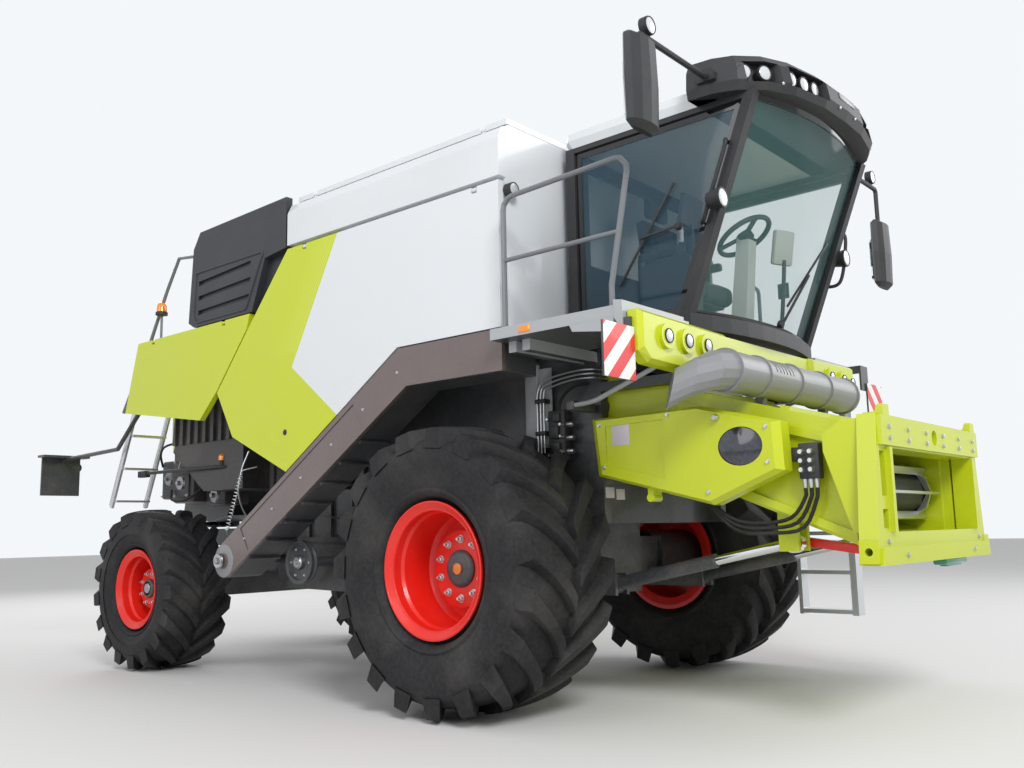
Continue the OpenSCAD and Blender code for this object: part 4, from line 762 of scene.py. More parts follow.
def mirror_glass():
    for side, name, height in ((-1, "right", 3.50), (1, "left", 3.25)):
        shape = bmesh.new()
        at = touch("mirrors", (2.5, side * 1.74, height), (1, 0, 0))[0]
        place = Matrix.Translation((at.x - 0.002, side * 1.74, height)) @ upright_to((-1, 0, 0))
        bmesh.ops.create_cube(shape, size=1.0, matrix=place @ Matrix.Diagonal((0.19, 0.34, 0.012, 1.0)))
        corners = [e for e in shape.edges if abs(e.verts[0].co.x - e.verts[1].co.x) > 0.006]
        round_off(shape, corners, 0.03, 5)
        piece(f"mirror_glass_{name}", "chassis", bare["mirror"], shape)
    print("mirror glass at x:", round(at.x, 3))


mirror_glass()

# %% [markdown]
# Much of what is left is bent sheet, small blocks and tubes. A block here is a cube with its edges rounded,
# set in place by its lowest and highest corner. A tube is a curve with a round bevel: its route is a few
# points, and a smooth line is laid through them, as a fitter bends a pipe between its clamps.

# %% Blocks and tubes
def add_block(shape, low, high, edge=0.004, turn=None):
    low, high = Vector(low), Vector(high)
    size = Matrix.Diagonal((*(high - low), 1.0))
    place = (turn or Matrix()) @ Matrix.Translation((low + high) / 2)
    made = bmesh.ops.create_cube(shape, size=1.0, matrix=place @ size)
    round_off(shape, list({e for v in made["verts"] for e in v.link_edges}), edge)


def side_box(side, low, high):
    """The corners of a box given for the left, on the machine's right (side -1) or left (side 1)."""
    near, far = sorted((side * low[1], side * high[1]))
    return (low[0], near, low[2]), (high[0], far, high[2])


def blocks(name, body, finish, boxes, edge=0.004):
    """One piece from several blocks, each a (low, high) pair of corners, or (low, high, edge)."""
    shape = bmesh.new()
    for low, high, *own_edge in boxes:
        add_block(shape, low, high, *(own_edge or [edge]))
    return piece(name, body, finish, shape, merge=False)


def side_blocks(name, body, finish, side, boxes, edge=0.004):
    """Blocks given for the left, on either side of the machine."""
    return blocks(name, body, finish, [(*side_box(side, *box[:2]), *box[2:]) for box in boxes], edge)


def turn_at(spot, axis, angle):
    """A turn in degrees about an axis letter or vector, through a spot."""
    spot = Vector(spot)
    return Matrix.Translation(spot) @ Matrix.Rotation(radians(angle), 4, axis) @ Matrix.Translation(-spot)


def smooth_route(points, count=24):
    """Evenly spaced points on a smooth line through the given ones."""
    spots = [Vector(p) for p in points]
    spots = [2 * spots[0] - spots[1], *spots, 2 * spots[-1] - spots[-2]]
    fine = []
    for a, b, c, d in zip(spots, spots[1:], spots[2:], spots[3:]):
        for k in range(20):
            t = k / 20
            fine.append((2 * b + (c - a) * t + (2 * a - 5 * b + 4 * c - d) * t ** 2
                         + (3 * b - a - 3 * c + d) * t ** 3) / 2)
    fine.append(spots[-2])
    length = sum((q - p).length for p, q in zip(fine, fine[1:]))
    even, gone, goal = [fine[0]], 0.0, length / (count - 1)
    for p, q in zip(fine, fine[1:]):
        span = (q - p).length
        while gone + span >= goal * len(even) and len(even) < count - 1:
            even.append(p.lerp(q, (goal * len(even) - gone) / span))
        gone += span
    return even + [fine[-1]]


def tubes(name, body, finish, routes, radius, count=24):
    curve = bpy.data.curves.new(name, "CURVE")
    curve.dimensions = "3D"
    curve.bevel_depth = radius
    curve.bevel_resolution = 4
    curve.use_fill_caps = True
    for route in routes:
        spots = smooth_route(route, count)
        spline = curve.splines.new("POLY")
        spline.points.add(len(spots) - 1)
        for point, spot in zip(spline.points, spots):
            point.co = (*spot, 1.0)
    curve.materials.append(finish.material)
    thing = bpy.data.objects.new(name, curve)
    bpy.context.scene.collection.objects.link(thing)
    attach(thing, body)
    return thing


def mirrored(points, side):
    """Points given for the left, on the machine's right (side -1) or left (side 1)."""
    return [(x, side * abs(y), z) for x, y, z in points]


def facing(points, side):
    """Such points with the direction that looks out to their side."""
    return [(spot, (0, side, 0)) for spot in mirrored(points, side)]


def ring_angles(count, shift=0.0):
    return [2 * pi * (k + shift) / count for k in range(count)]


print("blocks and tubes are ready")

# %% [markdown]
# The guard beside the feeder has an oval window of smoked plastic, so that the drive behind it can be
# checked. It is a disc pressed to an oval and bent a little along an upright line, with its rim rounded.
# Small knobs and screws hold the guard, and a blank plate sits at its rear end.

# %% Guard window
WINDOW_AT = Vector((3.455, 0.934, 1.600))
WINDOW_HALF = (0.137, 0.109)
smoked = Finish("smoked_window", Coat_Weight=1.0, Coat_Roughness=0.03, IOR=GLASS_IOR)
smoked.set(Base_Color=smoked.mix(dust_mask(smoked, 0.35), (0.010, 0.014, 0.030), DUST), Roughness=0.16)
plate = Finish("blank_plate", Roughness=0.35, Coat_Weight=0.2)
plate.set(Base_Color=plate.mix(dust_mask(plate, 0.5), (0.66, 0.60, 0.66), DUST))


def guard_window(side):
    shape = bmesh.new()
    at = Vector((WINDOW_AT.x, side * WINDOW_AT.y, WINDOW_AT.z))
    oval = Matrix.Diagonal((*WINDOW_HALF, 0.010, 1.0))
    bmesh.ops.create_cone(shape, cap_ends=True, segments=64, radius1=1.0, radius2=1.0, depth=1.0,
                          matrix=Matrix.Translation(at) @ Matrix.Rotation(pi / 2, 4, "X") @ oval)
    round_off(shape, [e for e in shape.edges if e.calc_face_angle(0.0) > 1.2], 0.003)
    bmesh.ops.bisect_plane(shape, geom=shape.verts[:] + shape.edges[:] + shape.faces[:], plane_co=at,
                           plane_no=(1, 0, 0))
    for v in shape.verts:
        v.co.y -= side * max(0.0, v.co.x - at.x) * 0.16
    return shape


def recess(centre, normal):
    """Faces of the guard inside the window's recess are left dark."""
    dx = (centre.x - WINDOW_AT.x) / (WINDOW_HALF[0] + 0.008)
    dz = (centre.z - WINDOW_AT.z) / (WINDOW_HALF[1] + 0.008)
    return 1 if hypot(dx, dz) < 1.0 and abs(centre.y) > 0.88 else 0


GUARD_SCREWS = [(2.47, 1.80), (2.98, 1.825), (3.62, 1.70), (3.24, 1.345), (2.50, 1.53), (3.62, 1.50)]

dress("feeder_guards", paints["lime"], bare["plastic"], choose=recess)
for side, name in SIDES:
    piece(f"guard_window_{name}", "feeder", smoked, guard_window(side), radians(30))
    spots = [touch("feeder_guards", (x, side * 2.0, z), (0, -side, 0)) for x, z in GUARD_SCREWS]
    bolts(f"guard_screws_{name}", "feeder", bare["zinc"], spots, 0.022, stud=False)
    knob = [touch("feeder_guards", (3.315, side * 2.0, 1.775), (0, -side, 0))]
    turned(f"guard_knob_{name}", "feeder", bare["zinc"], knob, cap_section(0.020, 0.034), 24)
    at = touch("feeder_guards", (2.63, side * 2.0, 1.73), (0, -side, 0))[0]
    blocks(f"guard_plate_{name}", "feeder", plate,
           [((2.565, at.y - 0.0015, 1.665), (2.695, at.y + 0.0015, 1.795))], 0.001)
print("guard window across, m:", 2 * WINDOW_HALF[0])

# %% [markdown]
# Hydraulic hoses run from the coupling at the feeder's front end, hang in a loop below the guard and go back
# up to clamps on the feeder's side. Each is held at both ends and hangs free between them. Its length is the
# length of its route. The coupling is a block with plated sleeves.

# %% Coupling and hoses
HOSE_D = 0.022
CLAMP_HALF = 0.022
COUPLER_LOW, COUPLER_HIGH = (3.745, 0.751, 1.40), (3.865, 0.815, 1.60)


def coupling(side, name):
    side_blocks(f"coupling_block_{name}", "feeder", bare["plastic"], side,
                [(COUPLER_LOW, COUPLER_HIGH, 0.008), ((3.700, 0.759, 1.50), (3.750, 0.807, 1.58), 0.006)])
    spots = facing([(x, COUPLER_HIGH[1], z) for x in (3.775, 3.830) for z in (1.45, 1.50, 1.55)], side)
    turned(f"coupling_sleeves_{name}", "feeder", bare["zinc"], spots, cap_section(0.017, 0.045), 24)
    feet = [((3.765 + 0.035 * k, side * 0.785, COUPLER_LOW[2]), (0, 0, -1)) for k in range(3)]
    turned(f"hose_ends_{name}", "feeder", bare["zinc"], feet, cap_section(0.015, 0.05), 20)


def hose_route(side, k):
    """The k-th of three hoses: down from the coupling, through the sag, and up to its clamp."""
    x, y, low = 3.765 + 0.035 * k, 0.785, 1.165 - 0.028 * k
    drop = [(x, y, 1.352), (x - 0.004, y, 1.30), (x - 0.09, y + 0.002, low + 0.025)]
    sag = [(x - 0.26, y + 0.012 * k, low - 0.005), (3.32, y + 0.01, low + 0.02)]
    climb = [(3.14 - 0.03 * k, 0.782, 1.31 + 0.02 * k), (2.96 - 0.04 * k, 0.776, 1.46 + 0.01 * k),
             (2.86 - 0.05 * k, 0.774, 1.56 + 0.01 * k)]
    return smooth_route(mirrored(drop + sag + climb, side), 30)


for side, name in SIDES:
    coupling(side, name)
    for k in range(3):
        route = hose_route(side, k)
        length = sum((q - p).length for p, q in zip(route, route[1:]))
        hose = tubes(f"feeder_hose_{k + 1}_{name}", "feeder", bare["belt"], [route], HOSE_D / 2, len(route))
        print(hose.name, "length, m:", round(length, 3))
    clamps = [tuple(hose_route(side, k)[-1]) for k in range(3)]
    boxes = [((x - CLAMP_HALF, 0.72, z - CLAMP_HALF), (x + CLAMP_HALF, 0.795, z + CLAMP_HALF))
             for x, y, z in clamps]
    side_blocks(f"hose_clamps_{name}", "feeder", bare["plastic"], side, boxes, 0.005)

# %% [markdown]
# Under the feeder hangs the red stop that is laid on a lift rod before anyone works below. It is a channel
# of bent sheet: a flat strip with its two long edges folded down.

# %% Red stop, skid and adapter bolts
def add_channel(shape, low, high, fold, sheet=0.005):
    """An upside-down channel along X: a top strip with a wall at each long edge."""
    add_block(shape, low, high, 0.002)
    for y in (low[1], high[1] - sheet):
        add_block(shape, (low[0], y, low[2] - fold), (high[0], y + sheet, low[2] + 0.001), 0.002)


def red_stop():
    shape = bmesh.new()
    add_channel(shape, (3.46, -0.46, 1.085), (3.98, -0.39, 1.091), 0.045)
    add_block(shape, (3.44, -0.452, 1.03), (3.52, -0.398, 1.088), 0.01)
    tip = Matrix.Rotation(radians(8), 3, "Y")
    bmesh.ops.rotate(shape, verts=shape.verts, cent=(3.46, -0.42, 1.09), matrix=tip)
    return piece("safety_stop", "feeder", paints["red"], shape, merge=False)


ADAPTER_BOLTS = [(y, z) for z in (1.60, 1.66) for y in (-0.74, -0.45, -0.15, 0.15, 0.45, 0.74)]
ADAPTER_BOLTS += [(side * y, z) for side in (-1, 1) for y, z in ((0.80, 1.05), (0.80, 1.50), (0.60, 0.975))]

red_stop()
blocks("adapter_skid", "header_adapter", paints["teal"],
       [((4.135, 0.10, 0.893), (4.215, 0.50, 0.932)), ((4.150, 0.16, 0.882), (4.200, 0.44, 0.900))], 0.010)
spots = [touch("adapter", (6.0, y, z), (-1, 0, 0)) for y, z in ADAPTER_BOLTS]
bolts("adapter_bolts", "header_adapter", bare["zinc"], spots, 0.024, stud=False)
print("adapter bolts:", len(spots))

# %% [markdown]
# The cab's panes are glued in, and a black border hides the glue. The shader draws it: it works out how far
# a point lies from the pane's edges, which are straight lines in side view, and turns dark there.
# Inside, the roof lining is pale, and its faces are the downward ones of the roof.

# %% Glass border and lining
SIDE_PANE_Y = 0.8345
PANE_FOOT, PANE_TOP = 2.45, 3.705
PANE_REAR, PANE_FRONT = 2.285, 3.065
PANE_LEAN = 0.51 / 1.29
SCREEN_HALF_W, SCREEN_TOP = 0.80, 3.74


def bordered_glass(name, side_tint, screen_tint, side_cover, screen_cover):
    finish = Finish(name, Specular_IOR_Level=0.7, IOR=GLASS_IOR)
    x, z, across = finish.axis("x"), finish.axis("z"), finish.axis("y").size()
    height = z - PANE_FOOT
    front = (PANE_FRONT - x + height * PANE_LEAN) / hypot(1.0, PANE_LEAN)
    side_room = front.least(x - PANE_REAR).least(height).least(PANE_TOP - z)
    screen_room = (SCREEN_HALF_W - across).least(height).least(SCREEN_TOP - z)
    side = across > SIDE_PANE_Y
    border = side * (1 - side_room.step(0.044, 0.048)) + (1 - side) * (1 - screen_room.step(0.030, 0.034))
    smear = finish.noise(5.0, 5.0).step(0.45, 0.8)
    cover = side * (side_cover - screen_cover) + screen_cover
    tint = finish.mix(side, screen_tint, side_tint)
    finish.set(Base_Color=finish.mix(border, tint, (0.008, 0.008, 0.009)), Alpha=border.most(cover),
               Roughness=smear * 0.05 + 0.03)
    return finish


def lining(centre, normal):
    return 1 if normal.z < -0.9 and abs(centre.y) < 0.86 else 0


glass["window"] = bordered_glass("bordered_cab_glass", (0.035, 0.10, 0.15), (0.20, 0.42, 0.42), 0.30, 0.12)
dress("cab_glass", glass["window"])
bare["lining"] = grained("roof_lining", (0.46, 0.48, 0.45), grain=350.0, rough=0.85, depth=0.0001)
dress("cab_roof", paints["white"], bare["lining"], choose=lining)
print("border drawn on the panes")

# %% [markdown]
# On the panes sit wipers. An arm swings from a boss at the pane's edge and carries a long rubber blade.
# Arm and blade are slim blocks laid between two points, and both follow the pane's slope.

# %% Wipers
def wiper(name, boss, tip, out, blade_a, blade_b):
    """An arm from its boss to the middle of the blade, which lies between two points on the pane."""
    boss, tip, out = Vector(boss), Vector(tip), Vector(out).normalized()
    shape = bmesh.new()
    add_turned(shape, boss, out, cap_section(0.026, 0.034), 28)
    arm = (boss, tip, 0.008, 0.026)
    blade = (Vector(blade_a), Vector(blade_b), 0.007, 0.014)
    for start, end, half, lift in (arm, blade):
        span = end - start
        along = span.to_track_quat("X", "Z").to_matrix().to_4x4()
        place = Matrix.Translation(start.lerp(end, 0.5) + out * lift) @ along
        half_span = span.length / 2
        add_block(shape, (-half_span, -half, -half), (half_span, half, half), 0.003, place)
    piece(name, "chassis", bare["plastic"], shape, merge=False)


def side_point(x, z):
    return x, -0.852, z


def screen_point(y, z):
    return touch("cab_glass", (5.0, y, z), (-1, 0, 0))[0]


wiper("side_wiper", side_point(3.075, 3.01), side_point(2.80, 2.985), (0, -1, 0),
      side_point(3.06, 3.30), side_point(2.62, 2.70))
wiper("screen_wiper", screen_point(0.10, 2.50), screen_point(0.30, 2.86), (1.0, 0.0, -PANE_LEAN),
      screen_point(0.12, 2.62), screen_point(0.52, 3.12))
print("the side pane and the windscreen have a wiper each")

# %% [markdown]
# Small things stand round the cab: a rail along the right windscreen pillar, a hoop at the left one, an
# aerial on the roof and a handle on the door. The rails are dark tube, bent in a few places.

# %% Rails, aerial and door handle
PILLAR_Y = 0.905
right_rail = [(3.43, -0.868, 3.47), (3.455, -PILLAR_Y, 3.455), (3.44, -PILLAR_Y - 0.004, 3.40),
              (3.34, -PILLAR_Y - 0.004, 3.15), (3.285, -PILLAR_Y, 3.01), (3.245, -0.868, 2.99)]
left_hoop = [(3.19, 0.868, 2.90), (3.24, 0.92, 2.905), (3.37, 0.935, 2.93), (3.43, 0.935, 3.22),
             (3.40, 0.935, 3.30), (3.36, 0.92, 3.315), (3.355, 0.868, 3.31)]
tubes("pillar_rail", "chassis", bare["plastic"], [right_rail], 0.013, 40)
tubes("left_cab_rail", "chassis", bare["plastic"], [left_hoop], 0.013, 40)
aerial = [((3.22, 0.26, 3.895), (0, 0, 1))]
turned("aerial_foot", "chassis", bare["plastic"], aerial, cap_section(0.026, 0.035), 24)
aerial_rod = [(3.22, 0.26, 3.92), (3.215, 0.262, 4.04), (3.20, 0.266, 4.14)]
tubes("aerial_rod", "chassis", bare["plastic"], [aerial_rod], 0.0035, 12)


def door_handle():
    shape = bmesh.new()
    add_block(shape, (2.90, 0.868, 2.86), (2.99, 0.880, 2.98), 0.005)
    add_block(shape, (2.915, 0.876, 2.875), (2.945, 0.898, 2.965), 0.008)
    piece("door_handle", "door", bare["plastic"], shape, merge=False)


door_handle()
print("rails, aerial and handle are on")

# %% [markdown]
# Inside the cab a display stands on a post to the left of the steering column. It is a shallow box with
# rounded corners, a glossy screen set in its face, and a round post down to the floor.

# %% Display and column
screen_glow = Finish("display_screen", Roughness=0.08, Coat_Weight=1.0, Base_Color=(0.012, 0.014, 0.018))
bands = ((screen_glow.axis("z") * 60.0).wave() > 0.2) * (screen_glow.noise(30.0, 2.0) > 0.5)
glow = screen_glow.mix(bands, (0.01, 0.02, 0.03), (0.10, 0.22, 0.28))
screen_glow.set(Emission_Color=glow, Emission_Strength=0.5)


def display():
    middle = (3.27, 0.20, 3.05)
    turn = turn_at(middle, "Z", -22) @ turn_at(middle, "Y", 12)
    shell, face = bmesh.new(), bmesh.new()
    add_block(shell, (3.245, 0.115, 2.93), (3.290, 0.285, 3.17), 0.014, turn)
    add_block(face, (3.240, 0.130, 2.945), (3.2465, 0.270, 3.155), 0.002, turn)
    piece("display_shell", "chassis", bare["lining"], shell, merge=False)
    piece("display_face", "chassis", screen_glow, face, merge=False)
    post = [(3.275, 0.20, 2.96), (3.25, 0.20, 2.70), (3.22, 0.20, 2.45)]
    tubes("display_post", "chassis", bare["plastic"], [post], 0.014)


def console_part(centre, normal):
    """The column's lower half is pale, the wheel and side console are dark, the terminal has a screen."""
    if centre.x > 2.93 and centre.z < 3.00:
        return 1
    screen = 3.165 < centre.z < 3.35 and centre.y < -0.26 and centre.x < 2.93 and normal.x < -0.8
    return 2 if screen else 0


display()
dress("console", bare["plastic"], bare["lining"], screen_glow, choose=console_part)
print("display and column are done")

# %% [markdown]
# The driver's seat is soft: a cushion, a back and a headrest, each a padded form in cloth. A form starts
# as a rounded block a little too small, is remeshed finely, and is then blown up by the cloth solver, so it
# crowns in the middle and pulls in between its corners. Sewn channels are pressed in afterwards.

# %% Padding
PAD_VOXEL = 0.009
PAD_CAP = 0.016
CHANNEL_DEPTH, CHANNEL_HALF = 0.009, 0.007


def fresh_mesh(thing):
    """What a modifier makes of an object, as a mesh of its own."""
    return bpy.data.meshes.new_from_object(thing.evaluated_get(bpy.context.evaluated_depsgraph_get()))


def swell(shape, pressure=4.0):
    mesh = bpy.data.meshes.new("pad_form")
    shape.to_mesh(mesh)
    shape.free()
    form = bpy.data.objects.new("pad_form", mesh)
    bpy.context.scene.collection.objects.link(form)
    remesh = form.modifiers.new("remesh", "REMESH")
    remesh.mode, remesh.voxel_size = "VOXEL", PAD_VOXEL
    form.data = fresh_mesh(form)
    form.modifiers.clear()
    rest = [v.co.copy() for v in form.data.vertices]
    cloth = form.modifiers.new("pressure", "CLOTH")
    cloth.settings.use_pressure = True
    cloth.settings.uniform_pressure_force = pressure
    cloth.settings.effector_weights.gravity = 0.0
    for step in range(1, 21):
        bpy.context.scene.frame_set(step)
    form.data = fresh_mesh(form)
    form.modifiers.clear()
    bpy.context.scene.frame_set(1)
    for v, start in zip(form.data.vertices, rest):
        moved = v.co - start
        if moved.length > PAD_CAP:
            v.co = start + moved.normalized() * PAD_CAP
    mesh = form.data.copy()
    bpy.data.objects.remove(form)
    return mesh


def pad(name, boxes, channels, turn=None):
    """A padded piece from blocks, with sewn channels at distances from the machine's middle."""
    shape = bmesh.new()
    for low, high in boxes:
        add_block(shape, low, high, 0.030, turn)
    mesh = swell(shape)
    for v in mesh.vertices:
        gap = min(abs(abs(v.co.y) - c) for c in channels)
        v.co -= v.normal * CHANNEL_DEPTH * max(0.0, 1.0 - (gap / CHANNEL_HALF / 2) ** 2) ** 2
    mesh.shade_smooth()
    mesh.name = name
    mesh.materials.clear()
    mesh.materials.append(bare["cloth"].material)
    thing = bpy.data.objects.new(name, mesh)
    bpy.context.scene.collection.objects.link(thing)
    finer = thing.modifiers.new("finer", "SUBSURF")
    finer.levels = finer.render_levels = 1
    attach(thing, "chassis")
    return thing


def build_seat_frame():
    """The plain parts that carry the pads: a box, a shell behind the back, and the armrests."""
    shape = bmesh.new()
    add_block(shape, (2.455, -0.18, 2.45), (2.735, 0.18, 2.70), 0.02)
    add_block(shape, (2.43, -0.20, 2.685), (2.80, 0.20, 2.715), 0.01)
    add_block(shape, (2.385, -0.20, 2.70), (2.405, 0.20, 3.36), 0.008, BACK_TURN)
    for side in (-1, 1):
        add_block(shape, *side_box(side, (2.415, 0.27, 3.01), (2.735, 0.33, 3.07)), 0.018)
        add_block(shape, *side_box(side, (2.415, 0.27, 2.72), (2.445, 0.33, 3.03)), 0.008)
        add_block(shape, *side_box(side, (2.405, 0.19, 2.715), (2.445, 0.28, 2.745)), 0.006)
    return piece("seat_frame", "chassis", bare["plastic"], shape, merge=False)


BACK_TURN = turn_at((2.44, 0.0, 2.87), "Y", -6.6)
cushion = pad("seat_cushion", [((2.41, -0.245, 2.715), (2.87, 0.245, 2.835))], (0.15,))
pad("seat_back", [((2.405, -0.245, 2.88), (2.475, 0.245, 3.375))], (0.15,), BACK_TURN)
pad("seat_headrest", [((2.348, -0.135, 3.395), (2.415, 0.135, 3.555))], (0.40,))
seat_frame = build_seat_frame()
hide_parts("seat")
print("cushion faces:", len(cushion.data.polygons))

# %% [markdown]
# The wheel's middle decides how deep it looks. A round plate in the rim's colour carries the ring of
# plated bolts and the hub cap, so all of them lie in one plane, as on the real wheel. The front cap has an
# orange button. The rear hub stands out further, and has a ring of grey metal on its cap.

# %% Wheel faces
WHEELS = {
    # how far the plate stands out, its radius, the bolts' ring, their number and size, the cap's radius
    "front": (0.004, 0.250, FRONT_RING_R, 10, 0.042, 0.120),
    "rear": (0.085, 0.175, REAR_RING_R, 8, 0.032, 0.085),
}
HUB_RING = [(0.0, 0.036), (0.040, 0.036), (0.046, 0.030), (0.060, 0.030), (0.062, 0.0), (0.0, 0.0)]


def wheel_face(end, side):
    lift, plate_r, ring_r, count, bolt, cap_r = WHEELS[end]
    body = f"{end}_wheel_{side}"
    at = hub_spot(f"rim_{end}_{side}")[0]
    out = Vector((0, 1 if at.y > 0 else -1, 0))
    face = Vector((at.x, at.y, at.z - 0.001)) + out * lift
    back = 0.012 + lift + 0.10
    section = [(0.0, 0.0), (plate_r * 0.94, 0.0), (plate_r * 0.985, -0.004), (plate_r, -0.014),
               (plate_r, -back), (0.0, -back)]
    turned(f"{end}_wheel_plate_{side}", body, paints["red"], [(face, out)], section, 64)
    ring = [(face + ring_r * Vector((cos(a), 0, sin(a))), out) for a in ring_angles(count, 0.5)]
    bolts(f"{end}_wheel_bolts_{side}", body, bare["zinc"], ring, bolt)
    turned(f"{end}_hub_cap_{side}", body, paints["grey"], [(face, out)], cap_section(cap_r, 0.030), 48)
    if end == "front":
        button = button_section(0.036, 0.028, 0.046)
        turned(f"front_hub_button_{side}", body, paints["orange"], [(face, out)], button)
    else:
        turned(f"rear_hub_ring_{side}", body, bare["steel"], [(face, out)], HUB_RING)
    return face


def lip_rings(end, side):
    """Two thin rolled rings stiffen the wheel's lip."""
    low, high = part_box(f"rim_{end}_{side}")
    centre, lip = (low + high) / 2, (high.z - low.z) / 2
    out = 1 if centre.y > 0 else -1
    face = high.y if out > 0 else low.y
    angles = ring_angles(32)
    routes = []
    for r, depth in ((lip - 0.008, 0.004), (lip - 0.052, 0.030)):
        y = face - out * depth
        routes.append([(centre.x + r * cos(a), y, centre.z + r * sin(a)) for a in angles + [2 * pi]])
    tubes(f"{end}_lip_rings_{side}", f"{end}_wheel_{side}", paints["red"], routes, 0.0065, 97)


for side in ("right", "left"):
    for end in WHEELS:
        face = wheel_face(end, side)
        lip_rings(end, side)

# %% [markdown]
# The grain elevator's foot has a steel plate over its lower shaft, with a big nut in a ring, and a few
# screws along its cover. Beside it, each belt wheel has a plated hub and its own small ring of screws.

# %% Elevator foot and belt wheels
LEFTWARD, RIGHTWARD = (0, 1, 0), Vector((0, -1, 0))
FOOT_X, FOOT_Z = -0.895, 0.950
SCREW_PITCH, COVER_SLOPE = 0.36, 0.62
FOOT_PLATE = [(0.0, 0.003), (0.126, 0.003), (0.130, 0.0), (0.130, -0.004), (0.0, -0.004)]
FOOT_RING = [(0.0, 0.012), (0.040, 0.012), (0.044, 0.018), (0.054, 0.018), (0.058, 0.0), (0.0, 0.0)]
BELT_HUB = [(0.0, 0.022), (0.016, 0.022), (0.018, 0.014), (0.040, 0.014), (0.044, 0.004), (0.050, 0.0),
            (0.0, 0.0)]
BELT_WHEELS = [
    # x, z, radius of the ring of screws, number of screws
    (-0.285, 0.930, 0.115, 6), (0.445, 1.450, 0.16, 6), (-0.805, 1.500, 0.09, 5), (-0.545, 2.050, 0.06, 4),
    (0.135, 1.990, 0.05, 4),
]

face_y = touch("elevator_cover", (FOOT_X, -2.0, 1.050), LEFTWARD)[0].y
boss_at = touch("elevator_cover", (FOOT_X, -2.0, 0.951), LEFTWARD)[0]
turned("elevator_foot_plate", "chassis", bare["smooth"],
       [(Vector((FOOT_X, face_y, FOOT_Z)), RIGHTWARD)], FOOT_PLATE, 56)
turned("elevator_foot_ring", "chassis", bare["zinc"], [(boss_at, RIGHTWARD)], FOOT_RING, 40)
nut = [(boss_at + RIGHTWARD * 0.010, RIGHTWARD)]
bolts("elevator_foot_nut", "chassis", bare["steel"], nut, 0.050, stud=False)
starts = [(-0.62 + SCREW_PITCH * k, -2.0, 1.21 + SCREW_PITCH * k * COVER_SLOPE + drop)
          for k in range(7) for drop in (-0.085, 0.125)]
cover_spots = touches("elevator_cover", starts, LEFTWARD)
bolts("elevator_cover_screws", "chassis", bare["zinc"], cover_spots, 0.018, stud=False)
hub_spots, hub_screws = [], []
for x, z, ring, count in BELT_WHEELS:
    hub_spots.append(touch("drive_pulleys", (x, -2.2, z + 0.001), LEFTWARD))
    starts = [(x + ring * cos(a), -2.2, z + ring * sin(a)) for a in ring_angles(count)]
    hub_screws += touches("drive_pulleys", starts, LEFTWARD)
turned("belt_wheel_hubs", "chassis", bare["steel"], hub_spots, BELT_HUB, 32)
bolts("belt_wheel_screws", "chassis", bare["zinc"], hub_screws, 0.018, stud=False)
print("cover screws:", len(cover_spots), "hub screws:", len(hub_screws))

# %% [markdown]
# Behind the rear wheel the straw chopper's drive is open to view: gear cases with shaft ends and screws,
# a rail with an amber marker lamp, bent pipes and a pulling spring. They keep clear of the steered tyre,
# so they lie above its top or ahead of it. A spring is a helix, made as a tube.
# Both sides come from one table, which gives every place for the left.

# %% Chopper drive
GEAR_CASES = [
    ((-2.64, 0.59, 1.47), (-2.26, 0.97, 2.02), 0.03),
    ((-2.97, 0.59, 1.52), (-2.67, 0.90, 1.90), 0.025),
    ((-2.58, 0.96, 1.52), (-2.32, 0.99, 1.80), 0.008),
    ((-2.22, 0.59, 1.44), (-1.90, 0.86, 1.62), 0.02),
]
SHAFT_END = [(0.0, 0.05), (0.020, 0.05), (0.024, 0.02), (0.062, 0.018), (0.070, 0.0), (0.0, 0.0)]
SHAFT_ENDS = [(-2.45, 0.99, 1.66), (-2.82, 0.90, 1.72), (-2.06, 0.86, 1.53)]
CASE_SCREWS = [(x, y, z) for y, xs, zs in ((0.97, (-2.60, -2.30), (1.87, 1.97)),
                                           (0.99, (-2.56, -2.34), (1.54, 1.78)),
                                           (0.90, (-2.94, -2.70), (1.55, 1.87))) for x in xs for z in zs]
SPRING_HEAD, SPRING_FOOT = (-0.98, 1.30, 1.65), (-1.17, 1.30, 1.20)
SPRING_TURNS, TURN_POINTS = 16, 14
